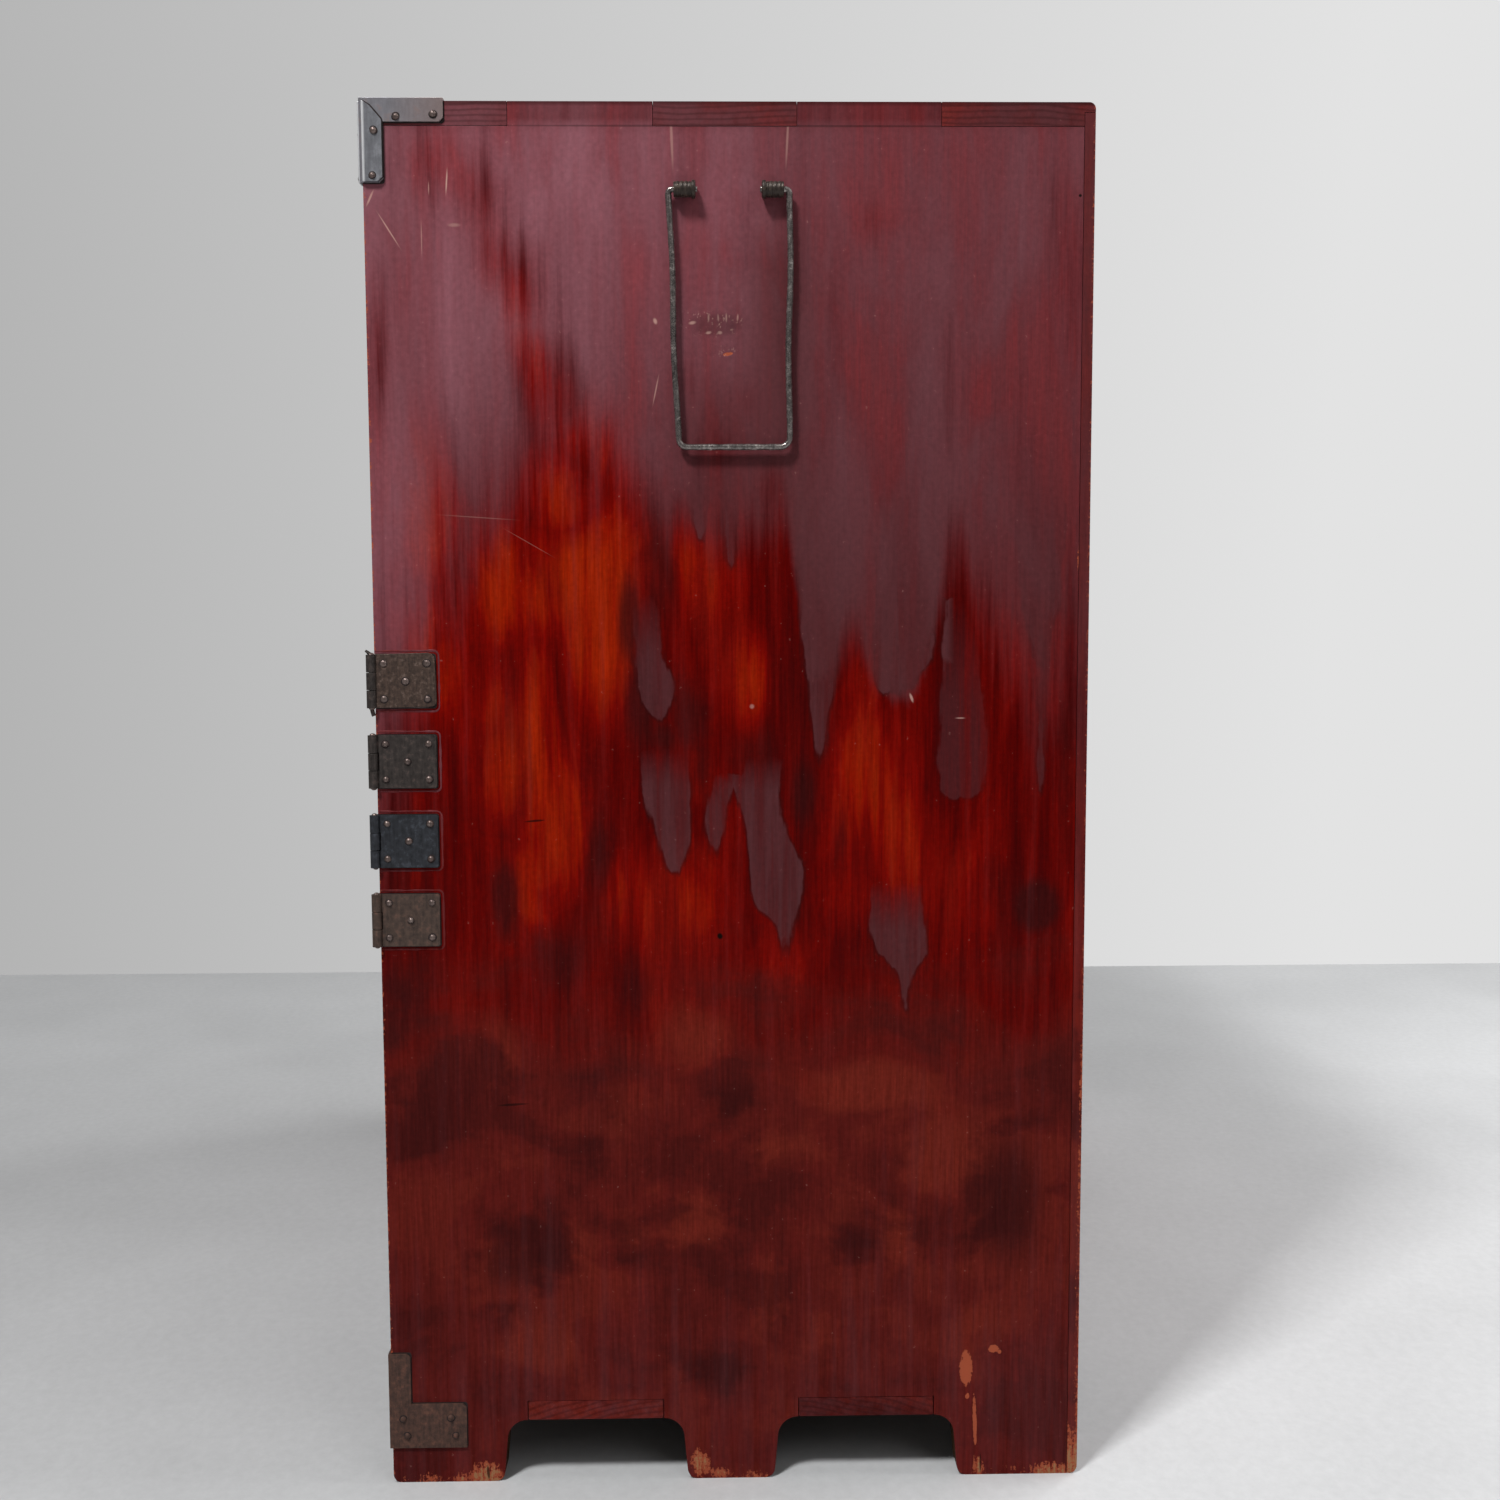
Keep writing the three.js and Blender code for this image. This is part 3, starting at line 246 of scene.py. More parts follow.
class ChestColours(bpy.types.PropertyGroup):
    """Colours of the finishes."""
    deep: colour("#490202", "Deep lacquer", "Thick transparent red lacquer over dark timber")
    warm: colour("#680501", "Warm lacquer", "The same lacquer where it is thinner")
    ember: colour("#790802", "Bright lacquer", "Lacquer thin enough for the timber to light it")
    glow: colour("#962204", "Glowing lacquer", "Lacquer worn thinnest, with the timber showing")
    low: colour("#561a16", "Low lacquer", "Duller lacquer on the lower third")
    dark: colour("#300d0d", "Dark clouds", "Places where the lacquer has gone nearly black")
    rust: colour("#6e2419", "Rusty clouds", "Browner red patches low on the sides")
    haze: colour("#55292d", "Haze", "Mauve bloom on the old lacquer")
    # Partly painted sheen: the pale bloom colour also stands in for the lamps' reflection on the
    # lacquer
    pale_haze_and_sheen: colour("#8c5660", "Pale haze", "The bloom where it is thickest")
    chip: colour("#a04e35", "Chips", "Orange undercoat in chips and along worn edges")
    scratch: colour("#b48a80", "Scratches", "Pale scratched lacquer")
    # Also the nearly black underside, which is painted shade under the chest as well as dirt
    holes_and_under_shade: colour("#140806", "Holes", "Dark nail holes, dents and the dirty underside")
    bare: colour("#96704f", "Broken feet", "Pale timber where the feet have splintered")
    timber: colour("#b38a5c", "Bare timber", "Unpainted conifer inside the chest")
    timber_dark: colour("#926a43", "Timber grain", "Late wood lines of the bare timber")
    steel: colour("#7b797e", "Corner steel", "Blue grey sheet steel of the top corners")
    folded_steel: colour("#7a7b80", "Folded steel", "Bluer steel of the top corners' upright arms")
    brown_iron: colour("#482f25", "Rusted iron", "Brown sheet iron of the bottom corners")
    black_iron: colour("#3d3633", "Blackened iron", "Dark sheet iron of hinges and plates")
    blue_iron: colour("#303237", "Blued iron", "Blue black sheet iron of the third hinge")
    umber_iron: colour("#483830", "Browned iron", "Browner sheet iron of the lowest hinge")
    bar_iron: colour("#77706d", "Forged bar", "Rubbed forged iron of the bails and pulls")
    eye_iron: colour("#382f29", "Rolled eyes", "Brown black iron of the eyes that carry the bails")
    nail_iron: colour("#6a5b56", "Nail heads", "Purple brown domed heads")


class ChestSizes(bpy.types.PropertyGroup):
    """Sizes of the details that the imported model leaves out."""
    nail_radius: length(2.1 * MM, "Nail radius", "Radius of a domed nail head")
    nail_height: length(1.6 * MM, "Nail height", "Height of a domed nail head")
    nail_dirt: length(2.6 * MM, "Nail dirt", "Radius of the dirt packed round a nail head")
    bail_radius: length(1.9 * MM, "Bail bar", "Half the thickness of a carrying bail's bar")
    bail_sag: length(3 * MM, "Bail sag", "How much lower the old bail hangs than the new one")
    pull_radius: length(1.9 * MM, "Pull bar", "Half the thickness of a drawer pull's bar")
    pull_swell: bpy.props.FloatProperty(
        name="Pull swell", description="How much thicker a pull is in its middle", default=0.35)
    barrel_radius: length(4.8 * MM, "Barrel", "Radius of a rolled eye")
    barrel_length: length(13.5 * MM, "Barrel length", "Length of a rolled eye with its collar")
    fold_thick: length(1.2 * MM, "Fold", "Height of the sheet folded over a top corner")
    dirt_rim: length(0.6 * MM, "Dirt line", "Width of the dirt packed round the sheet iron")
    ridge_gap: length(2.2 * MM, "Ridge gap", "From a hinge leaf to the lacquer ridge round it")
    leaf_tilt: bpy.props.FloatProperty(
        name="Leaf tilt", description="Lean of the worn top hinge leaf", subtype="ANGLE",
        default=math.radians(1.3))
    board_ease: length(0.9 * MM, "Board edge", "Rounding worn onto the edges of the boards")
    sheet_ease: length(0.3 * MM, "Sheet edge", "Rounding on the edges of sheet iron")
    cell: length(5 * MM, "Board cell", "Spacing of the points that carry the side's clouds")


class StudioSettings(bpy.types.PropertyGroup):
    """The camera and the studio."""
    lens: bpy.props.FloatProperty(
        name="Lens", description="Focal length on a 36 mm sensor, in millimetres", default=39.0)
    place: bpy.props.FloatVectorProperty(
        name="Camera place", description="Where the camera stands", subtype="XYZ",
        unit="LENGTH", default=(1.4354, -0.0042, 0.5708))
    pitch: bpy.props.FloatProperty(
        name="Pitch", description="How far the camera looks down", subtype="ANGLE",
        default=math.radians(4.982))
    yaw: bpy.props.FloatProperty(
        name="Yaw", description="How far the camera turns to the back of the chest",
        subtype="ANGLE", default=math.radians(1.084))
    roll: bpy.props.FloatProperty(
        name="Roll", description="The camera's lean", subtype="ANGLE",
        default=math.radians(-0.22))
    floor: colour("#c4c5c6", "Floor", "Pale smooth floor")
    wall_left: colour("#b4b4b4", "Wall, left", "Backdrop at the left of the view")
    wall_right: colour("#e3e3e3", "Wall, right", "Backdrop at the right of the view")
    wall_back: length(1.105, "Wall distance", "From the chest's middle to the floor's far edge")


# Node trees

def add(tree, kind, inputs, out=0, **settings):
    """Adds a shader node, sets its properties and fills or joins its inputs.

    Returns the output numbered out, or the node itself where out is None.
    """
    node = tree.nodes.new("ShaderNode" + kind)
    for name, value in settings.items():
        setattr(node, name, value)
    for name, value in inputs.items():
        if isinstance(value, bpy.types.NodeSocket):
            tree.links.new(value, node.inputs[name])
        else:
            node.inputs[name].default_value = value
    return node if out is None else node.outputs[out]


COLOUR_MIX = {"out": 2, "data_type": "RGBA"}  # with input 0 the cover, 6 below and 7 above


def finish_with(name, build, **uniform):
    """A material whose Principled shader takes even values here and patterns from build."""
    material = bpy.data.materials.new(name)
    material.use_nodes = True
    tree = material.node_tree
    tree.nodes.clear()
    shader = add(tree, "BsdfPrincipled", uniform, out=None)
    add(tree, "OutputMaterial", {"Surface": shader.outputs[0]}, out=None)
    for socket, value in build(tree).items():
        tree.links.new(value, shader.inputs[socket])
    return material


def chest_point(tree):
    """The point in millimetres: x across, y back from the front edge, z up from the floor."""
    place = add(tree, "TexCoord", {}, out=3)
    return add(tree, "Mapping", {0: place, 1: (0, -FRONT / MM, 0), 3: (1 / MM,) * 3})


def largest(tree, covers):
    """The largest of several covers at each point."""
    return functools.reduce(
        lambda first, second: add(tree, "Math", {0: first, 1: second}, operation="MAXIMUM"),
        covers)


def ovals(tree, point, places, softness):
    """Soft ovals on the side, the strongest winning.

    The cover falls smoothly from the oval's strength to nothing at its rim, with the distance
    from its middle counted in half sizes.
    """
    covers = []
    for y, z, wide, high, turn, strength in places:
        local = add(tree, "Mapping", {
            0: point, 1: (0, y, z), 2: (math.radians(turn), 0, 0), 3: (CASE_HEIGHT ** 2, wide, high),
        }, vector_type="TEXTURE")
        reach = add(tree, "VectorMath", {0: local}, out=1, operation="LENGTH")
        covers.append(add(tree, "MapRange", {
            0: reach, 1: 1.0, 2: 1.0 - softness, 4: strength,
        }, interpolation_type="SMOOTHSTEP"))
    return largest(tree, covers)


def oval_cover(y, z, places, softness):
    """The same soft ovals at whole arrays of points."""
    cover = np.zeros_like(y)
    for middle_y, middle_z, wide, high, turn, strength in places:
        cos, sin = math.cos(math.radians(turn)), math.sin(math.radians(turn))
        across = ((y - middle_y) * cos + (z - middle_z) * sin) / wide
        up = ((z - middle_z) * cos - (y - middle_y) * sin) / high
        inside = np.clip((1 - np.hypot(across, up)) / softness, 0, 1)
        cover = np.maximum(cover, strength * inside * inside * (3 - 2 * inside))
    return cover


def haze_cover(y, z):
    """The bloom: a smooth step of the height over its hanging edge, in units of the edge's
    softness there, less the gaps where red shows through. It is thinner over the scribed line
    under the top, and a trace of it lies over the feet."""
    edge_y, edge_z, soft = np.array(HAZE_EDGE, float).T
    over = (z - np.interp(y, edge_y, edge_z)) / np.interp(y, edge_y, soft)
    cover = np.clip(0.5 + over / 2, 0, 1)
    cover = cover * cover * (3 - 2 * cover) * (1 - oval_cover(y, z, HAZE_GAPS, 1.0))
    cover = cover * (1 - 0.3 * np.clip((z - 864) / 3, 0, 1))
    return np.maximum(cover, 0.25 * np.clip((180 - z) / 120, 0, 1))


def bloom_paleness_and_painted_sheen(y, z):
    """How pale the bloom is. It grows with the height over the drips, and is twice as strong in
    a soft upright band near the front as at the back; this paleness towards the upper front is
    partly thicker bloom and partly painted sheen and painted light from the lamps. By the hinges
    it is pale lower down, a narrow band over them is palest, the bail's middle is pale too, it is
    pale along the front edge higher up, and bands under the top and behind the bail are dull."""
    light = np.clip((z - 560) / 260, 0, 1) * (0.4 + 0.6 * np.exp(-((y - 110) / 120) ** 2))
    light = light * (1 - 0.6 * np.clip((z - 864) / 3, 0, 1))
    light = light + 0.35 * np.exp(-((y - 46) / 20) ** 2 - ((z - 745) / 75) ** 2)
    light = light + 0.2 * np.exp(-((y - 225) / 35) ** 2 - ((z - 800) / 60) ** 2)
    light = light * (1 - 0.85 * np.exp(-((y - 258) / 26) ** 2) * np.clip((840 - z) / 60, 0.2, 1))
    light = light * (1 - 0.8 * np.exp(-((y - 215) / 35) ** 2) * np.clip((725 - z) / 40, 0, 1))
    return np.maximum(light, 0.8 * np.exp(-(y / 50) ** 2) * np.clip((z - 420) / 150, 0, 1))


def drip_fields(y, z):
    """How deep in a drip each point lies, in millimetres, and how much of the drip is left there.

    At each height a drip has a middle and a half width, found between its rows.
    """
    depth, left = np.full_like(y, OUTSIDE), np.zeros_like(y)
    for strength, rows in DRIPS:
        heights, middles, halves = np.array(rows, float).T
        inside = np.interp(z, heights, halves) - np.abs(y - np.interp(z, heights, middles))
        inside = np.minimum(inside, z - heights[0])
        fade = strength * np.clip((heights[-1] - z) / (heights[-1] - heights[-2]), 0, 1)
        left = np.maximum(left, np.where(inside > OUTSIDE, fade, 0))
        depth = np.maximum(depth, np.where(z < heights[-1], inside, OUTSIDE))
    return depth, left


# Each cloud that a side board's points carry, by its attribute's name
SIDE_FIELDS = {
    "glow": lambda y, z: oval_cover(y, z, GLOW_PLACES, 1.0),
    "haze": haze_cover,
    "dark": lambda y, z: oval_cover(y, z, DARK_PLACES, 1.0),
    "rust": lambda y, z: oval_cover(y, z, RUST_PLACES, 1.0),
    # light: the bloom's paleness, partly painted sheen and painted light
    "light": bloom_paleness_and_painted_sheen,
    "drip": lambda y, z: drip_fields(y, z)[0],
    "dripping": lambda y, z: drip_fields(y, z)[1],
    "bare": lambda y, z: oval_cover(y, z, BARE_PLACES, 1.0),
}


def lacquered_film(tree, axes, rim):
    """1 on the chest's outer faces, where the lacquer is, and 0 on bare inner timber. At the
    front it reaches rim millimetres in."""
    across = add(tree, "Math", {0: axes.outputs[0]}, operation="ABSOLUTE")
    return largest(tree, (
        add(tree, "Math", {0: across, 1: CASE_HALF - FILM}, operation="GREATER_THAN"),
        add(tree, "Math", {0: axes.outputs[1], 1: rim}, operation="LESS_THAN"),
        add(tree, "Math", {0: axes.outputs[1], 1: CASE_DEPTH - FILM}, operation="GREATER_THAN"),
        add(tree, "Math", {0: axes.outputs[2], 1: CASE_HEIGHT - FILM}, operation="GREATER_THAN"),
    ))


def timber(tree, point, grain):
    """Bare conifer: late wood lines along the grain, a few millimetres apart."""
    colours = bpy.context.scene.chest_colours
    stretched = add(tree, "Mapping", {0: point, 3: grain})
    lines = add(tree, "TexNoise", {0: stretched, 2: 0.22, 3: 3.0, 4: 0.6, 8: 0.4})
    cover = add(tree, "MapRange", {0: lines, 1: 0.42, 2: 0.66})
    return add(tree, "Mix", {0: cover, 6: colours.timber, 7: colours.timber_dark}, **COLOUR_MIX)


def aged_lacquer(name, grain, shift, painted=False, scarred=False, covered=False, rim=CASE_RIM):
    """Transparent red lacquer on conifer, brushed by hand and worn for a century.

    Thin places glow, thick ones are dark, the low part is dull, and a mauve bloom hangs down
    from the top in drips. painted says that the mesh carries the side's clouds as attributes,
    scarred adds the chips, scratches and holes of the right side, and covered lacquers every
    face, for pieces that stand back from the chest's front. rim is how far in the lacquer
    reaches from the front.
    """
    colours = bpy.context.scene.chest_colours
    along = (0.05, 1.0, 1.0) if grain == "x" else (1.0, 1.0, 0.05)
    broad = (0.3, 1.0, 1.0) if grain == "x" else (1.0, 1.0, 0.3)

    def build(tree):
        point = chest_point(tree)
        moved = add(tree, "Mapping", {0: point, 1: (shift, shift, shift)})
        stretched = add(tree, "Mapping", {0: moved, 3: along})
        wide = add(tree, "Mapping", {0: moved, 3: broad})
        axes = add(tree, "SeparateXYZ", {0: point}, out=None)
        streaks = add(tree, "TexNoise", {0: stretched, 2: 0.13, 3: 4.0, 4: 0.6})
        hairs = add(tree, "TexNoise", {0: stretched, 2: 0.5, 3: 4.0, 4: 0.65})
        clouds = add(tree, "TexNoise", {0: wide, 2: 0.018, 3: 4.0, 4: 0.6, 8: 0.6})
        level = add(tree, "Mapping", {0: moved, 3: (1.0, 0.8, 1.2)})
        smoke = add(tree, "TexNoise", {0: level, 2: 0.016, 3: 6.0, 4: 0.55, 8: 0.25})
        fields = {
            "glow": add(tree, "MapRange", {0: clouds, 1: 0.45, 2: 0.8, 4: 0.55}),
            "haze": add(tree, "MapRange", {0: smoke, 1: 0.4, 2: 0.7, 3: 0.15, 4: 0.5}),
            "dark": add(tree, "MapRange", {0: smoke, 1: 0.5, 2: 0.3, 4: 0.35}),
            "rust": add(tree, "MapRange", {0: clouds, 1: 0.5, 2: 0.3, 4: 0.6}),
            "light": add(tree, "MapRange", {0: clouds, 1: 0.35, 2: 0.65, 4: 0.8}),
            "drip": OUTSIDE, "dripping": 0.0, "bare": 0.0,
        }
        across = add(tree, "Math", {0: axes.outputs[0]}, operation="ABSOLUTE")
        flank = add(tree, "Math", {0: across, 1: CASE_HALF - FILM}, operation="GREATER_THAN")
        if painted:
            fields = {label: add(tree, "Mix", {
                0: flank, 2: field, 3: add(tree, "Attribute", {}, out=2, attribute_name=label),
            }) for label, field in fields.items()}
        else:
            # End grain on the flanks: hazed most near the top, and palest near the front, which is
            # painted sheen and painted light as on the side
            ends = add(tree, "MapRange", {0: axes.outputs[2], 1: 300.0, 2: 800.0, 3: 0.3, 4: 0.8})
            front = add(tree, "MapRange", {0: axes.outputs[1], 1: 60.0, 2: 330.0, 3: 0.35, 4: 0.0})
            fields["haze"] = add(tree, "Mix", {0: flank, 2: fields["haze"], 3: ends})
            fields["light"] = add(tree, "Mix", {0: flank, 2: fields["light"], 3: front})
            fields["rust"] = add(tree, "Mix", {0: flank, 2: fields["rust"], 3: 0.35})
            # They are bared at the feet, and along the back edge lower down
            rubbed = add(tree, "MapRange", {
                0: axes.outputs[1], 1: CASE_DEPTH - 5, 2: CASE_DEPTH, 4: 0.4})
            lower = add(tree, "MapRange", {0: axes.outputs[2], 1: 400.0, 2: 260.0, 3: 0.15, 4: 1.0})
            bared = largest(tree, (
                add(tree, "MapRange", {0: axes.outputs[2], 1: 46.0, 2: 0.0, 4: 0.9}),
                add(tree, "Math", {0: rubbed, 1: lower}, operation="MULTIPLY")))
            fields["bare"] = add(tree, "Math", {0: bared, 1: flank}, operation="MULTIPLY")
        glow, haze, dark, rust, light, drip, dripping, bare = fields.values()
        # Each layer over the deep lacquer: its cover, its colour and how they mix
        thinned = add(tree, "MapRange", {0: streaks, 1: 0.35, 2: 0.65})
        layers = [(thinned, colours.warm, "MIX")]
        # The lit wood shows through in upright streaks and soft pools
        pools = add(tree, "MapRange", {0: clouds, 1: 0.35, 2: 0.65, 3: -0.3, 4: 0.3})
        pooled = add(tree, "Math", {0: glow, 1: pools}, operation="ADD")
        lit = add(tree, "Math", {
            0: add(tree, "MapRange", {0: streaks, 1: 0.34, 2: 0.62, 3: 0.55, 4: 1.15}),
            1: add(tree, "MapRange", {0: pooled, 1: 0.05, 2: 0.8}),
        }, operation="MULTIPLY")
        layers += [(add(tree, "MapRange", {0: lit, 2: 0.5}), colours.ember, "MIX"),
                   (add(tree, "MapRange", {0: lit, 1: 0.4, 2: 1.1}), colours.glow, "MIX")]
        lift = add(tree, "Math", {0: smoke, 1: 200.0, 2: axes.outputs[2]}, operation="MULTIPLY_ADD")
        low = add(tree, "MapRange", {
            0: lift, 1: 470.0, 2: 350.0, 4: 0.8}, interpolation_type="SMOOTHSTEP")
        layers.append((low, colours.low, "MIX"))
        # Brown red and nearly black clouds, which drift level low down and upright higher up, and
        # are fainter where no listed ones guide them
        swing = 0.38 if painted else 0.2
        drift = add(tree, "Mix", {
            0: low,
            2: add(tree, "MapRange", {0: clouds, 1: 0.35, 2: 0.65, 3: -swing / 2, 4: swing / 2}),
            3: add(tree, "MapRange", {0: smoke, 1: 0.4, 2: 0.6, 3: -swing, 4: swing})})
        rusty = add(tree, "MapRange", {
            0: add(tree, "Math", {0: rust, 1: drift}, operation="ADD"),
            1: 0.05, 2: 0.6, 4: 0.7}, interpolation_type="SMOOTHSTEP")
        layers.append((rusty, colours.rust, "MIX"))
        gloom = add(tree, "MapRange", {
            0: add(tree, "Math", {0: dark, 1: drift}, operation="SUBTRACT"),
            1: -0.05, 2: 0.6, 4: 0.78}, interpolation_type="SMOOTHSTEP")
        layers.append((gloom, colours.dark, "MIX"))
        # Brush marks lighten and darken the red film a little, and the bloom over it less
        brushed = add(tree, "MapRange", {0: hairs, 1: 0.3, 2: 0.7, 3: 0.8, 4: 1.2})
        layers.append((1.0, brushed, "MULTIPLY"))
        # The bloom: its threshold wanders in upright streaks, so its lower edge hangs in fingers,
        # and red shows through it where it is thin
        ragged = add(tree, "MapRange", {0: streaks, 1: 0.3, 2: 0.7, 3: -0.25, 4: 0.25})
        veil = add(tree, "MapRange", {
            0: add(tree, "Math", {0: haze, 1: ragged}, operation="ADD"),
            1: 0.0, 2: 0.95}, interpolation_type="SMOOTHSTEP")
        thin = add(tree, "Math", {
            0: add(tree, "MapRange", {0: clouds, 1: 0.62, 2: 0.38, 3: 0.6, 4: 0.95}),
            1: add(tree, "MapRange", {0: streaks, 1: 0.65, 2: 0.4, 3: 0.87, 4: 1.0}),
        }, operation="MULTIPLY")
        veil = add(tree, "Math", {0: veil, 1: thin}, operation="MULTIPLY")
        # The bloom is paler where light is high: partly thicker bloom, partly painted sheen and painted
        # light
        bloom = add(tree, "Mix", {0: light, 6: colours.haze, 7: colours.pale_haze_and_sheen}, **COLOUR_MIX)
        if painted:
            # A dark tide line round each drip, then the drip itself, thinner over its middle
            wander = add(tree, "TexNoise", {0: wide, 2: 0.16, 3: 3.0})
            wavy = add(tree, "MapRange", {0: wander, 1: 0.35, 2: 0.65, 3: -1.3, 4: 1.3})
            drips = add(tree, "Math", {0: drip, 1: wavy}, operation="ADD")
            rim_cover = add(tree, "MapRange", {0: drips, 1: -1.6, 2: 0.3, 4: 0.6})
            tide = add(tree, "Math", {0: rim_cover, 1: dripping}, operation="MULTIPLY")
            layers.append((tide, colours.dark, "MIX"))
            edged = add(tree, "Math", {
                0: add(tree, "MapRange", {0: drips, 1: 0.3, 2: 1.6}),
                1: add(tree, "MapRange", {0: streaks, 1: 0.62, 2: 0.4, 3: 0.4, 4: 0.8}),
            }, operation="MULTIPLY")
            body = add(tree, "Math", {0: edged, 1: dripping}, operation="MULTIPLY")
            veil = largest(tree, (veil, body))
        layers.append((veil, bloom, "MIX"))
        # Old wax mottles the whole surface, and pale specks of dust lie thinly in it
        specks = add(tree, "TexNoise", {0: moved, 2: 0.3, 3: 3.0, 4: 0.55})
        mottled = add(tree, "MapRange", {
            0: add(tree, "Mix", {0: 0.3, 2: specks, 3: hairs}), 1: 0.35, 2: 0.65, 3: 0.89, 4: 1.11})
        dust = add(tree, "MapRange", {0: specks, 1: 0.7, 2: 0.77, 4: 0.22})
        layers += [(1.0, mottled, "MULTIPLY"), (dust, colours.scratch, "MIX")]
        # Dirt darkens the top edge, then nicks show the undercoat along the flanks' edges
        grime = add(tree, "MapRange", {
            0: axes.outputs[2], 1: CASE_HEIGHT - 3, 2: CASE_HEIGHT - 1, 4: 0.6})
        layers.append((grime, colours.dark, "MIX"))
        nicks = add(tree, "TexNoise", {0: moved, 2: 0.45, 3: 3.0, 4: 0.7})
        edge = add(tree, "MapRange", {0: axes.outputs[1], 1: 2.6, 2: 0.4, 4: 0.26})
        back_edge = add(tree, "MapRange", {
            0: axes.outputs[1], 1: CASE_DEPTH - 3, 2: CASE_DEPTH, 4: 0.26})
        floor_edge = add(tree, "MapRange", {0: axes.outputs[2], 1: 9.0, 2: 1.0, 4: 0.2})
        worn = add(tree, "Math", {
            0: largest(tree, (edge, back_edge, floor_edge)), 1: flank, 2: nicks,
        }, operation="MULTIPLY_ADD")
        chips = add(tree, "MapRange", {0: worn, 1: 0.76, 2: 0.82, 4: 0.9})
        # Bared places break up into torn, splintered patches: undercoat at their rims, timber inside
        splinters = add(tree, "MapRange", {0: hairs, 1: 0.35, 2: 0.62, 3: 1.35, 4: 0.5})
        torn = add(tree, "Math", {
            0: add(tree, "MapRange", {0: nicks, 1: 0.35, 2: 0.65, 3: 0.4, 4: 1.5}),
            1: splinters}, operation="MULTIPLY")
        breaking = add(tree, "Math", {0: bare, 1: torn}, operation="MULTIPLY")
        rims = add(tree, "MapRange", {0: breaking, 1: 0.25, 2: 0.33, 4: 0.9})
        chips = largest(tree, (chips, rims))
        broken = add(tree, "MapRange", {0: breaking, 1: 0.5, 2: 0.7, 4: 0.85})
        lines = add(tree, "MapRange", {0: hairs, 1: 0.45, 2: 0.6, 4: 0.7})
        splinter = add(tree, "Mix", {0: lines, 6: colours.bare, 7: colours.timber_dark}, **COLOUR_MIX)
        if scarred:
            ragged_rims = add(tree, "MapRange", {0: nicks, 1: 0.35, 2: 0.65, 3: 0.5, 4: 1.6})
            flakes = add(tree, "Math", {
                0: ovals(tree, point, CHIP_PLACES, 1.0), 1: ragged_rims}, operation="MULTIPLY")
            chips = largest(tree, (chips, add(tree, "MapRange", {0: flakes, 1: 0.26, 2: 0.32})))
        layers += [(chips, colours.chip, "MIX"), (broken, splinter, "MIX")]
        if scarred:
            marks = add(tree, "MapRange", {0: nicks, 1: 0.6, 2: 0.68, 4: 0.8})
            scuffs = add(tree, "Math", {
                0: ovals(tree, point, SCUFF_PLACES, 0.6), 1: marks}, operation="MULTIPLY")
            scratches = largest(tree, (scuffs, ovals(tree, point, SCRATCH_PLACES, 0.7)))
            layers += [(scratches, colours.scratch, "MIX"),
                       (ovals(tree, point, HOLE_PLACES, 0.5), colours.holes_and_under_shade, "MIX")]
        if grain == "x":
            # The year rings of the board ends: dark arcs some 8 mm apart round the tree's middle
            centred = add(tree, "Mapping", {
                0: point, 1: (0.0, -CASE_DEPTH / 2, 60.0), 3: (0.0, 1.0, 2.2)})
            rings = add(tree, "TexWave", {
                0: centred, 1: 0.04, 2: 9.0, 3: 2.0, 4: 0.3,
            }, out=1, wave_type="RINGS", rings_direction="X")
            arcs = add(tree, "Math", {
                0: add(tree, "MapRange", {0: rings, 1: 0.45, 2: 1.0, 4: 0.42}),
                1: flank}, operation="MULTIPLY")
            layers.append((arcs, colours.dark, "MIX"))
        base = colours.deep
        for cover, tint, blend in layers:
            base = add(tree, "Mix", {0: cover, 6: base, 7: tint}, blend_type=blend, **COLOUR_MIX)
        # Inside, the timber is bare; on the chest's underside it is nearly black, dirt and painted
        # shade under the chest
        film = 1.0 if covered else lacquered_film(tree, axes, rim)
        under = add(tree, "MapRange", {
            0: axes.outputs[2], 1: UNDERSIDE + 3, 2: UNDERSIDE, 4: 0.93})
        wood = timber(tree, moved, along)
        inside = add(tree, "Mix", {0: under, 6: wood, 7: colours.holes_and_under_shade}, **COLOUR_MIX)
        skin = add(tree, "Mix", {0: film, 6: inside, 7: base}, **COLOUR_MIX)
        gloss = add(tree, "MapRange", {0: veil, 3: 0.3, 4: 0.46})
        rough = add(tree, "Mix", {0: film, 2: 0.75, 3: gloss})
        sheen = add(tree, "MapRange", {0: veil, 3: 0.03, 4: 0.2})
        relief = add(tree, "Math", {0: hairs, 1: 0.3, 2: streaks}, operation="MULTIPLY_ADD")
        if painted:
            relief = add(tree, "Math", {0: edged, 1: 0.5, 2: relief}, operation="MULTIPLY_ADD")
        hollow = add(tree, "Math", {0: chips, 1: -1.0, 2: relief}, operation="MULTIPLY_ADD")
        bump = add(tree, "Bump", {"Strength": 0.35, "Distance": 0.35 * MM, "Height": hollow})
        return {"Base Color": skin, "Roughness": rough, "Specular IOR Level": sheen, "Normal": bump}

    return finish_with(name, build)


def bare_timber(name, grain):
    """Planed conifer that was never lacquered: matt, with fine upright or level grain."""
    along = (0.03, 1.0, 1.0) if grain == "x" else (1.0, 0.03, 1.0)

    def build(tree):
        point = chest_point(tree)
        lines = add(tree, "TexNoise", {0: add(tree, "Mapping", {0: point, 3: along}), 2: 0.9})
        bump = add(tree, "Bump", {"Strength": 0.3, "Distance": 0.3 * MM, "Height": lines})
        return {"Base Color": timber(tree, point, along), "Normal": bump}

    return finish_with(name, build, Roughness=0.72)


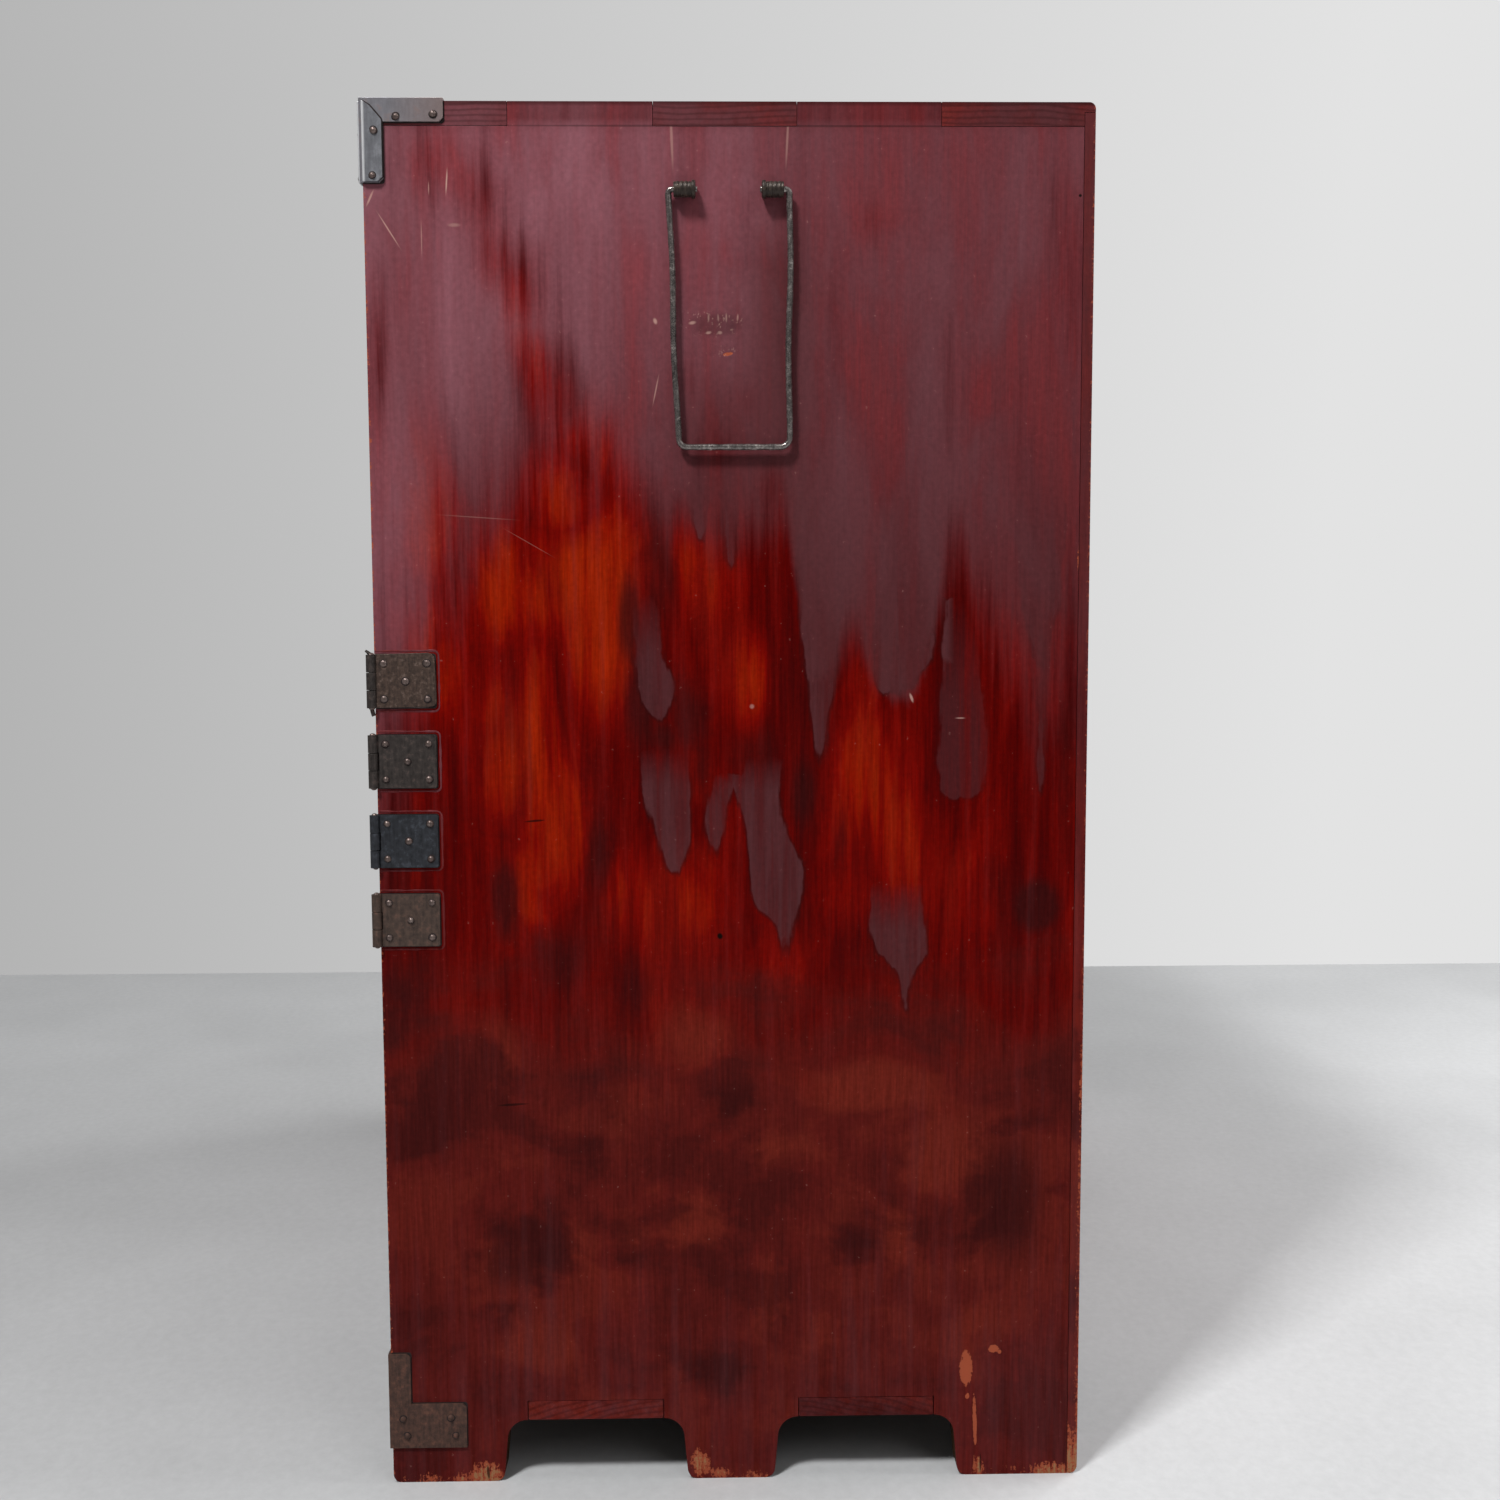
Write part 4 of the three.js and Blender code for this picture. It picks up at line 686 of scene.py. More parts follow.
def packed_dirt(name):
    """Black dust and old wax packed against the iron: matt, and crumbly at half a millimetre."""

    def build(tree):
        crumbs = add(tree, "TexNoise", {0: chest_point(tree), 2: 1.1, 3: 3.0, 4: 0.6})
        base = add(tree, "Mix", {
            0: add(tree, "MapRange", {0: crumbs, 1: 0.4, 2: 0.7}),
            6: linear(DIRT_DARK), 7: linear(DIRT_PALE)}, **COLOUR_MIX)
        bump = add(tree, "Bump", {"Strength": 0.5, "Distance": 0.2 * MM, "Height": crumbs})
        return {"Base Color": base, "Normal": bump}

    return finish_with(name, build, Roughness=0.8)


def old_iron(name, tone, spots, metallic, roughness, contrast=0.45, grain=0.28, tarnish=0.0,
             rubbed=0.0):
    """Sheet or bar iron with a dark fire scale, rubbed paler in spots and rusted in others. On
    the forged bar the pale spots are painted highlights as well as rubbing.

    contrast is how far the mottling lightens and darkens it, grain the mottling's scale,
    tarnish how brown it turns away from the front edge, and the last argument how pale that
    edge is painted: a rubbed edge and a painted highlight along the bend.
    """

    def build(tree):
        point = chest_point(tree)
        mottle = add(tree, "TexNoise", {0: point, 2: grain, 3: 5.0, 4: 0.65})
        grit = add(tree, "TexNoise", {0: point, 2: 2.2, 3: 3.0, 4: 0.6})
        drawn = add(tree, "Mapping", {0: point, 3: (1.0, 1.0, 0.12)})
        streaks = add(tree, "TexNoise", {0: drawn, 2: 0.6})
        mixed = add(tree, "Mix", {0: 0.35, 2: mottle, 3: streaks})
        shade = add(tree, "MapRange", {
            0: mixed, 1: 0.35, 2: 0.65, 3: 1 - contrast, 4: 1 + contrast})
        base = add(tree, "Mix", {0: 1.0, 6: tone, 7: shade}, blend_type="MULTIPLY", **COLOUR_MIX)
        layers = [(add(tree, "MapRange", {0: mottle, 1: 0.56, 2: 0.68, 4: 0.6}), spots)]
        if tarnish or rubbed:
            # Tarnish away from the front edge, and a pale front edge: rubbed iron and a painted
            # highlight along the bend
            back = add(tree, "SeparateXYZ", {0: point}, out=1)
            layers += [
                (add(tree, "MapRange", {0: back, 1: 16.0, 2: 50.0, 4: tarnish}), spots),
                (add(tree, "MapRange", {0: back, 1: 2.2, 2: 1.2, 4: rubbed}), RUBBED_EDGE_AND_HIGHLIGHT)]
        for cover, text in layers:
            base = add(tree, "Mix", {0: cover, 6: base, 7: linear(text)}, **COLOUR_MIX)
        rough = add(tree, "MapRange", {
            0: grit, 1: 0.3, 2: 0.7, 3: roughness - 0.1, 4: roughness + 0.15})
        bump = add(tree, "Bump", {"Strength": 0.5, "Distance": 0.25 * MM, "Height": mottle})
        return {"Base Color": base, "Roughness": rough, "Normal": bump}

    return finish_with(name, build, Metallic=metallic)


# Each finish: the function that makes it, its material's name and what the function takes. For
# a lacquer that is the grain, how far its pattern is moved, whether the mesh carries the side's
# clouds, whether it is scarred, whether every face is lacquered and how far in it reaches. For an
# iron it is the colour setting, the colour of its spots, then how metallic, how rough, how
# contrasty and how finely mottled it is, how far it tarnishes and how pale its front edge is
# painted, as rubbing and as a painted highlight.
FINISHES = {
    "right_lacquer": (aged_lacquer, "aged_lacquer_on_right_side", "z", 0.0, True, True),
    "left_lacquer": (aged_lacquer, "aged_lacquer_on_left_side", "z", 130.0, True),
    "upright_lacquer": (aged_lacquer, "aged_lacquer_upright", "z", 310.0),
    "level_lacquer": (aged_lacquer, "aged_lacquer_level", "x", 770.0),
    "drawer_lacquer": (
        aged_lacquer, "aged_lacquer_on_drawers", "x", 930.0, False, False, False, DRAWER_RIM),
    "door_lacquer": (aged_lacquer, "aged_lacquer_on_doors", "z", 510.0, False, False, True),
    "track_lacquer": (aged_lacquer, "aged_lacquer_on_tracks", "x", 640.0, False, False, True),
    "ridge_lacquer": (aged_lacquer, "aged_lacquer_ridge", "z", 45.0),
    "level_timber": (bare_timber, "bare_conifer_level", "x"),
    "deep_timber": (bare_timber, "bare_conifer_front_to_back", "y"),
    "corner_steel": (
        old_iron, "patinated_sheet_steel", "steel", "#86706b", 0.6, 0.4, 0.2, 0.1, 0.7),
    # The upright arm's front edge is painted pale, a painted highlight along its bend as well as
    # rubbing
    "folded_steel": (
        old_iron, "blued_sheet_steel", "folded_steel", "#96979b", 0.6, 0.36, 0.28, 0.12, 0.0, 0.8),
    "rusted_iron": (old_iron, "rusted_sheet_iron", "brown_iron", "#6b4234", 0.1, 0.75, 0.55),
    "black_iron": (old_iron, "blackened_sheet_iron", "black_iron", "#62504b", 0.5, 0.44, 0.5),
    "blued_iron": (old_iron, "blue_black_sheet_iron", "blue_iron", "#50545c", 0.5, 0.4, 0.5),
    "browned_iron": (old_iron, "browned_sheet_iron", "umber_iron", "#6a483c", 0.3, 0.55, 0.5),
    # The forged bar's pale spots are partly rubbed iron and partly painted highlights
    "bar_iron": (old_iron, "rubbed_forged_bar", "bar_iron", "#c2bab4", 0.75, 0.24, 0.6),
    "worn_iron": (old_iron, "worn_sheet_iron", "umber_iron", "#78665d", 0.4, 0.48, 0.6, 0.4),
    "eye_iron": (old_iron, "rolled_eye_iron", "eye_iron", "#6b5c4c", 0.5, 0.42),
    "nail_iron": (old_iron, "rubbed_nail_heads", "nail_iron", "#94867f", 0.6, 0.34, 0.3),
    "dirt": (packed_dirt, "packed_dirt_round_iron"),
}


@functools.cache
def finish(name):
    """The named finish, made once."""
    make, material, *values = FINISHES[name]
    if make is old_iron:
        setting, *values = values
        values = (getattr(bpy.context.scene.chest_colours, setting), *values)
    return make(material, *values)


# Meshes

def squares(rows, columns):
    """Corner numbers of a tube's squares: each row is a ring whose last point meets its first."""
    row, column = np.meshgrid(np.arange(rows - 1), np.arange(columns), indexing="ij")
    right = (column + 1) % columns
    first, second = row * columns + column, row * columns + right
    return np.stack([first, second, second + columns, first + columns], -1).reshape(-1, 4)


def signed_volume(points, faces):
    """A sixth of the sum of each fan triangle's triple product: negative if faces point inwards."""
    total = 0.0
    for sides in {len(face) for face in faces}:
        ring = points[np.array([face for face in faces if len(face) == sides])]
        for step in range(1, sides - 1):
            normal = np.cross(ring[:, step], ring[:, step + 1])
            total += np.einsum("ij,ij->", ring[:, 0], normal)
    return total / 6


def put(name, points, faces, look, body, slot, hides=(), smooth=True):
    """Makes a mesh object at the origin from arrays in metres, and rides it on a body."""
    points = np.asarray(points, float).reshape(-1, 3)
    if signed_volume(points, faces) < 0:
        faces = [face[::-1] for face in faces]
    mesh = bpy.data.meshes.new(name)
    mesh.from_pydata(points.tolist(), [], faces)
    mesh.validate()
    if smooth:
        mesh.shade_smooth()
    piece = bpy.data.objects.new(name, mesh)
    bpy.context.scene.collection.objects.link(piece)
    mesh.materials.append(finish(look))
    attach(piece, body)
    if hides:
        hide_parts(*hides)
    return piece


def ring_solid(rings):
    """Points and faces of a closed solid from rings of points, with a flat cap at each end."""
    rings = np.asarray(rings, float)
    rows, columns = rings.shape[:2]
    faces = squares(rows, columns).tolist()
    faces.append(list(range(columns))[::-1])
    faces.append(list(range((rows - 1) * columns, rows * columns)))
    return rings.reshape(-1, 3), faces


def joined(solids):
    """Several solids' points and faces as one list, each one's corner numbers moved up."""
    points, faces, start = [], [], 0
    for solid_points, solid_faces in solids:
        points.append(solid_points)
        faces += [[corner + start for corner in face] for face in solid_faces]
        start += len(solid_points)
    return np.concatenate(points), faces


def inset(outline, distance):
    """Moves a closed outline, which turns left, inwards: each corner goes along the mean of its
    two edges' normals, lengthened so that both edges move by the distance."""
    ahead = np.roll(outline, -1, 0) - outline
    ahead /= np.linalg.norm(ahead, axis=1, keepdims=True)
    normal = np.stack([-ahead[:, 1], ahead[:, 0]], 1)
    before = np.roll(normal, 1, 0)
    blend = 1 + np.einsum("ij,ij->i", normal, before)
    return outline + distance * (normal + before) / blend[:, None]


def corner_arc(before, corner, after, radius, steps):
    """Points along the arc that rounds the corner between two others."""
    into = (before - corner) / np.linalg.norm(before - corner)
    away = (after - corner) / np.linalg.norm(after - corner)
    half = math.acos(np.clip(into @ away, -1, 1)) / 2
    reach = radius / math.tan(half)
    middle = corner + (into + away) / np.linalg.norm(into + away) * radius / math.sin(half)
    start, end = corner + into * reach - middle, corner + away * reach - middle
    sweep = math.pi - 2 * half
    share = np.linspace(0, 1, steps)[:, None]
    blend = start * np.sin((1 - share) * sweep) + end * np.sin(share * sweep)
    return middle + blend / math.sin(sweep)


def rounded_outline(corners, radii, steps=5):
    """A closed outline with each corner turned as an arc of its own radius."""
    corners = np.array(corners, float)
    rows = zip(np.roll(corners, 1, 0), corners, np.roll(corners, -1, 0), radii)
    return np.concatenate([corner_arc(*row, steps) for row in rows])


def plate(outline, low, high, ease, place):
    """A sheet of iron: the outline at its back and near its front, then drawn in on a quarter
    turn to its front face. place turns across, up and out into x, y, z."""
    rings = [place(outline, low)]
    for turn in np.linspace(0, math.pi / 2, 4):
        drawn_in = inset(outline, ease * (1 - math.cos(turn)))
        rings.append(place(drawn_in, high - ease + ease * math.sin(turn)))
    return ring_solid(rings)


def on_side(sign):
    """Turns y and z in millimetres and a height out of the side's face into places."""
    return lambda flat, out: np.stack([
        np.full(len(flat), sign * (FACE + out * MM)), FRONT + flat[:, 0] * MM, flat[:, 1] * MM], 1)


def on_front(sign):
    """Turns distances in from a flank and up, in millimetres, and a height out of the front, into
    places."""
    return lambda flat, out: np.stack([
        sign * (FACE - flat[:, 0] * MM), np.full(len(flat), FRONT - out * MM), flat[:, 1] * MM], 1)


def dirt_line(name, corners, place):
    """Dirt packed round a sheet's edge: a film on the board, with the sheet's corners slightly
    rounded and moved outwards."""
    rim = bpy.context.scene.chest_sizes.dirt_rim / MM
    outline = inset(rounded_outline(corners, (1.2,) * len(corners), steps=3), -rim)
    film = plate(outline, -0.2, 0.15, 0.05, place)
    put(name, *film, "dirt", "case", "lacquered_wood", smooth=False)


def nail_heads(places, out, up, radius, height, seed):
    """Domed heads: a half oval turned about each nail, a little different in size and tilt.

    places are the middles on the surface, out is the surface's normal and up a direction in it.
    """
    random = np.random.default_rng(seed)
    places = np.array(places, float)
    out, up = np.array(out, float), np.array(up, float)
    across = np.cross(up, out)
    sides, rings = 14, 6
    turn = np.linspace(0, 2 * math.pi, sides, endpoint=False)
    rise = np.linspace(-0.35, math.pi / 2 * 0.93, rings)
    count = len(places)
    size = random.uniform(0.9, 1.12, (count, 1, 1))
    lean = random.uniform(-0.12, 0.12, (count, 2, 1, 1))
    reach = radius * size * np.cos(rise)[None, :, None]
    lift = height * np.sin(rise)[None, :, None] * np.ones((count, 1, 1))
    round_x = reach * np.cos(turn)[None, None, :] * (1 + 0.05 * np.cos(3 * turn + size))
    round_y = reach * np.sin(turn)[None, None, :]
    lift = lift + lean[:, 0] * round_x * 0.5 + lean[:, 1] * round_y * 0.5
    points = (places[:, None, None, :] + round_x[..., None] * across
              + round_y[..., None] * up + lift[..., None] * out)
    return joined([ring_solid(points[index]) for index in range(count)])


def nails(name, rows, look, body, slot, flatness=1.0):
    """Makes the nails one piece, and the dirt packed round them another.

    Each of rows is the nails' places, their surface's normal, the heads' seed and the dirt's
    seed, which is None where no dirt shows.
    """
    sizes = bpy.context.scene.chest_sizes
    height = flatness * sizes.nail_height
    put(name, *joined([
        nail_heads(places, out, (0, 0, 1), sizes.nail_radius, height, seed)
        for places, out, seed, dirt_seed in rows]), look, body, slot)
    dirt = [nail_heads(places, out, (0, 0, 1), sizes.nail_dirt, DIRT_HEIGHT, dirt_seed)
            for places, out, seed, dirt_seed in rows if dirt_seed]
    if dirt:
        put(name.replace("nails", "nail_dirt"), *joined(dirt), "dirt", body, slot)


def swept(path, normal, half_wide, half_thick, sides=12, power=2.6):
    """A bar along a flat path: a rounded square section, |a|^p + |b|^p = 1, stands square to the
    path, one way in the path's plane and one way along its normal. Sizes may vary along it."""
    path, normal = np.asarray(path, float), np.asarray(normal, float)
    tangent = np.gradient(path, axis=0)
    tangent /= np.linalg.norm(tangent, axis=1, keepdims=True)
    side = np.cross(tangent, normal)
    turn = np.linspace(0, 2 * math.pi, sides, endpoint=False)
    cos, sin = np.cos(turn), np.sin(turn)
    across = np.sign(cos) * np.abs(cos) ** (2 / power)
    along = np.sign(sin) * np.abs(sin) ** (2 / power)
    wide = np.broadcast_to(half_wide, len(path))[:, None] * across[None]
    thick = np.broadcast_to(half_thick, len(path))[:, None] * along[None]
    return path[:, None] + wide[..., None] * side[:, None] + thick[..., None] * normal


def bent_route(corners, radii, step):
    """An evenly stepped path along straight runs and arcs, and the length run at each point."""
    corners = np.array(corners, float)
    arcs = [corner_arc(*row, 9) for row in zip(corners, corners[1:], corners[2:], radii)]
    rough = np.concatenate([corners[:1], *arcs, corners[-1:]])
    run = np.concatenate([[0], np.cumsum(np.linalg.norm(np.diff(rough, axis=0), axis=1))])
    even = np.linspace(0, run[-1], int(run[-1] / step) + 2)
    return np.stack([np.interp(even, run, rough[:, axis]) for axis in range(3)], 1), even


def hammered(run, seed, depth):
    """Small hammer flats along a bar: a few sine waves of unlike lengths, with random starts."""
    random = np.random.default_rng(seed)
    waves = zip((9 * MM, 14 * MM, 23 * MM, 61 * MM), random.uniform(0, 2 * math.pi, 4))
    return 1 + depth * sum(np.sin(2 * math.pi * run / wave + start) for wave, start in waves) / 2


def barrel(middle, along, radius, long, rows=44):
    """A rolled eye: its radius runs along it as four shallow rings, then a neck, then a wide
    collar at the far end, and both ends are rounded off by a quarter circle."""
    share = np.linspace(0, 1, rows)
    size = radius * (1 + 0.05 * np.cos(8 * math.pi * share / NECK))
    size = np.where(share > NECK, radius * 0.9, size)
    size = np.where(share > COLLAR, radius * 1.16, size)
    end = np.clip(np.minimum(share, 1 - share) / 0.06, 0, 1)
    size = size * (0.72 + 0.28 * np.sqrt(1 - (1 - end) ** 2))
    path = np.array(middle) + np.outer((share - 0.5) * long, along)
    return ring_solid(swept(path, (1, 0, 0), size, size, sides=24, power=2.0))


# Boards

def fittings(names, look, ease):
    """Gives CAD nodes their finish, welds their loose triangles and eases their edges."""
    for name in names:
        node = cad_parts[name]
        node.data.materials.clear()
        node.data.materials.append(finish(look))
        weld = node.modifiers.new("weld", "WELD")
        weld.merge_threshold = WELD
        bevel = node.modifiers.new("ease", "BEVEL")
        bevel.width = ease
        bevel.segments = 2
        bevel.limit_method = "ANGLE"
        bevel.angle_limit = SHARP
        bevel.use_clamp_overlap = True


def side_board(flank, sign, look):
    """The side board: a merged copy of its CAD mesh, cut into cells whose points carry clouds."""
    sizes = bpy.context.scene.chest_sizes
    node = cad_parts[flank + "_side_panel"]
    shape = bmesh.new()
    shape.from_mesh(node.data)
    bmesh.ops.remove_doubles(shape, verts=shape.verts, dist=WELD)
    bmesh.ops.dissolve_limit(
        shape, angle_limit=math.radians(0.5), verts=shape.verts, edges=shape.edges)
    sharp = [edge for edge in shape.edges
             if len(edge.link_faces) == 2 and edge.calc_face_angle() > SHARP]
    bmesh.ops.bevel(
        shape, geom=sharp, offset=sizes.board_ease, segments=2, profile=0.5, affect="EDGES",
        clamp_overlap=True)
    for axis, low, high in ((1, FRONT, BACK), (2, 0.0, TOP)):
        direction = Vector((0, 0, 0))
        direction[axis] = 1
        for place in np.arange(low + sizes.cell, high, sizes.cell):
            bmesh.ops.bisect_plane(
                shape, geom=shape.verts[:] + shape.edges[:] + shape.faces[:], dist=0.001 * MM,
                plane_co=direction * place, plane_no=direction)
    mesh = bpy.data.meshes.new(flank + "_side_board")
    shape.to_mesh(mesh)
    shape.free()
    points = np.empty(len(mesh.vertices) * 3)
    mesh.vertices.foreach_get("co", points)
    points = points.reshape(-1, 3)
    y, z = (points[:, 1] - FRONT) / MM, points[:, 2] / MM
    if sign < 0:
        y = CASE_DEPTH - y
    for label, cover in SIDE_FIELDS.items():
        field = mesh.attributes.new(label, "FLOAT", "POINT")
        field.data.foreach_set("value", cover(y, z).astype(np.float32))
    board = bpy.data.objects.new(flank + "_side_board", mesh)
    bpy.context.scene.collection.objects.link(board)
    mesh.materials.append(finish(look))
    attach(board, "case")
    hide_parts(flank + "_side_panel")


class CHEST_OT_boards(bpy.types.Operator):
    """Dress the boards of the case"""
    bl_idname = "chest.boards"
    bl_label = "Case boards"

    def execute(self, context):
        ease = context.scene.chest_sizes.board_ease
        for flank, sign in FLANKS:
            side_board(flank, sign, flank + "_lacquer")
        fittings(("back_board_1", "back_board_2", "back_board_3", "middle_partition"),
                 "upright_lacquer", ease)
        fittings(("top_board", "bottom_board", "lower_shelf", "upper_shelf", "small_drawer_divider",
                  "drawer_dust_board"), "level_lacquer", ease)
        fittings(("sliding_door_track_lower", "sliding_door_track_upper"), "track_lacquer",
                 ease / 2)
        return {"FINISHED"}


class CHEST_OT_drawers(bpy.types.Operator):
    """Dress the drawers and the doors"""
    bl_idname = "chest.drawers"
    bl_label = "Drawers and doors"

    def execute(self, context):
        ease = context.scene.chest_sizes.board_ease
        for drawer in DRAWERS:
            fittings((drawer + "_front",), "drawer_lacquer", ease)
            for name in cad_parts:
                last = name.rsplit("_", 1)[-1]
                if name.startswith(drawer + "_") and last in ("side", "back", "frame", "bottom"):
                    look = "level_timber" if last in ("back", "bottom") else "deep_timber"
                    fittings((name,), look, ease / 2)
        fittings(("safe_door",), "upright_lacquer", ease)
        fittings(("sliding_door_right", "sliding_door_left"), "door_lacquer", ease)
        return {"FINISHED"}


class CHEST_OT_brackets(bpy.types.Operator):
    """Dress the corner brackets and drive their nails"""
    bl_idname = "chest.brackets"
    bl_label = "Corner brackets"

    def execute(self, context):
        sizes = context.scene.chest_sizes
        folded = sizes.fold_thick / MM
        for flank, sign in FLANKS:
            faces = ((on_side(sign), (sign, 0, 0)), (on_front(sign), (0, -1, 0)))
            fittings((flank + "_top_bracket",), "corner_steel", sizes.sheet_ease)
            fittings((flank + "_bottom_bracket",), "rusted_iron", sizes.sheet_ease)
            for level, places, extra, look, slot in (
                    ("top", TOP_BRACKET_NAILS, folded, "nail_iron", "bright_iron"),
                    ("bottom", BOTTOM_BRACKET_NAILS, 0.0, "rusted_iron", "brown_iron")):
                # The nails of the upright arm go through the fold too
                places = np.array(places)
                height = SHEET + np.where(places[:, 0] < TOP_BRACKET_WIDE, extra, 0)
                nails(f"{flank}_{level}_bracket_nails", [
                    (face(places, height), out, 11 + index, 13 + index)
                    for index, (face, out) in enumerate(faces)], look, "case", slot)
            # The upright arm is folded over the level one, and its end is cut on a mitre
            low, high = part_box(flank + "_top_bracket")
            reach, under, over = (high.y - FRONT) / MM, low.z / MM, high.z / MM - 1.6
            wide = TOP_BRACKET_WIDE
            fold = [(0.3, under + 0.5), (wide - 3.2, under + 0.5), (wide - 0.3, under + 3.4),
                    (wide - 0.3, over - wide + 1), (5, over - 3.2), (0.3, over)]
            for name, corners, lift, ease, look in (
                    ("fold", fold, folded, 0.2, "folded_steel"),
                    ("fold_dirt", np.add(fold, FOLD_DIRT), 0.15, 0.05, "dirt")):
                outline = rounded_outline(corners, FOLD_RADII, steps=3)
                sheets = joined([plate(outline, SHEET - 0.3, SHEET + lift, ease, face)
                                 for face, out in faces])
                put(f"{flank}_top_bracket_{name}", *sheets, look, "case", "bright_iron",
                    smooth=False)
            elbow = [(0, under), (wide, under), (wide, over - wide), (reach, over - wide),
                     (reach, over), (0, over)]
            dirt_line(flank + "_top_bracket_dirt", elbow, on_side(sign))
            low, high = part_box(flank + "_bottom_bracket")
            reach, under, over = (high.y - FRONT) / MM, low.z / MM, high.z / MM
            wide, foot = BOTTOM_BRACKET_WIDE, under + BOTTOM_BRACKET_FOOT
            elbow = [(0, under), (reach, under), (reach, foot), (wide, foot), (wide, over), (0, over)]
            dirt_line(flank + "_bottom_bracket_dirt", elbow, on_side(sign))
        return {"FINISHED"}


class CHEST_OT_hinges(bpy.types.Operator):
    """Dress the four wrap-round hinges of the small door"""
    bl_idname = "chest.hinges"
    bl_label = "Hinges"

    def execute(self, context):
        sizes = context.scene.chest_sizes
        along, up = HINGE_NAIL_SPREAD
        spread = [(0, 0)] + [(a * along, b * up) for a in (-1, 1) for b in (-1, 1)]
        for index in range(1, 5):
            side, door = f"hinge_side_leaf_{index}", f"hinge_door_leaf_{index}"
            fittings((side, door), HINGE_LOOKS[index - 1], sizes.sheet_ease)
            low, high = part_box(side)
            middle = (low.z + high.z) / 2
            lift, flatness = SHEET, 1.0
            reach, under, over = (high.y - FRONT) / MM, low.z / MM, high.z / MM
            edge = [(0, under), (reach, under), (reach, over), (0, over)]
            dirt_line(f"hinge_dirt_{index}", edge, on_side(1))
            if index == 1:
                # The top leaf is older: rounder at its corners, tilted and rubbed pale in spots. Its
                # nails are flatter, so that the door leaf clears them when the door stands wide open
                lift, flatness = WORN_SHEET, FLAT_NAILS
                half = (high.z - low.z) / MM / 2
                outline = rounded_outline(
                    [(0.4, -half), (reach + 0.5, -half), (reach + 0.3, half + 0.3), (0.4, half + 0.3)],
                    (0.5, 3.5, 4.5, 0.5))
                turn = sizes.leaf_tilt
                tilt = np.array([[math.cos(turn), math.sin(turn)], [-math.sin(turn), math.cos(turn)]])
                outline = outline @ tilt + (0, middle / MM)
                put("hinge_worn_leaf", *plate(outline, 0.2, lift, 0.3, on_side(1)), "worn_iron",
                    "case", "black_iron", smooth=False)
            # Lacquer built up in a low ridge round the leaf
            gap, start = sizes.ridge_gap, FRONT + RIDGE_START * MM
            path, run = bent_route(
                [(FACE, start, high.z + gap), (FACE, high.y + gap, high.z + gap),
                 (FACE, high.y + gap, low.z - gap), (FACE, start, low.z - gap)],
                (RIDGE_BEND * MM,) * 2, BAR_STEP)
            size = hammered(run, 60 + index, 0.3) * MM
            ridge = swept(path, (1, 0, 0), RIDGE_WIDE * size, RIDGE_HIGH * size, power=2.0)
            put(f"lacquer_ridge_{index}", *ring_solid(ridge), "ridge_lacquer", "case",
                "lacquered_wood")
            pin = (FACE + PIN_OUT * MM, FRONT - PIN_AHEAD * MM)
            if index == 1:
                # Its rolled tab has sprung open at the top, and the pin has slipped down
                share = np.linspace(0, 1, 12)
                upright = np.full(12, pin[0])
                tab = np.stack([upright, pin[1] - TAB_CURL * MM * share ** 2,
                                high.z + (4 * share - 1.5) * MM], 1)
                slip = np.stack([upright, pin[1] + PIN_LEAN * MM * share ** 2,
                                 low.z + (1 - 6 * share) * MM], 1)
                loose = joined((
                    ring_solid(swept(tab, (1, 0, 0), (1.7 - share) * MM, (2.2 - share * 0.6) * MM)),
                    ring_solid(swept(slip, (1, 0, 0), PIN_RADIUS * MM, PIN_RADIUS * MM, power=2.0))))
                put("hinge_sprung_tab_and_pin", *loose, "black_iron", "case", "black_iron")
            radius, height = np.array(PIN_END) * MM
            ends = [nail_heads([(*pin, place)], (0, 0, way), (1, 0, 0), radius, height, 50 + index)
                    for place, way in ((high.z, 1), (low.z, -1))]
            put(f"hinge_pin_ends_{index}", *joined(ends), "nail_iron", "case", "black_iron")
            side_places = [(FACE + lift * MM, FRONT + (HINGE_NAIL_MIDDLE + a) * MM, middle + b * MM)
                           for a, b in spread]
            door_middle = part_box(door)[0].x + DOOR_NAIL_MIDDLE * MM
            door_places = [(door_middle + a * MM, FRONT - SHEET * MM, middle + b * MM)
                           for a, b in spread]
            nails(f"hinge_side_nails_{index}", [(side_places, (1, 0, 0), 20 + index, 40 + index)],
                  "nail_iron", "case", "black_iron", flatness)
            nails(f"hinge_door_nails_{index}", [(door_places, (0, -1, 0), 30 + index, None)],
                  "nail_iron", "safe_door", "black_iron")
        return {"FINISHED"}


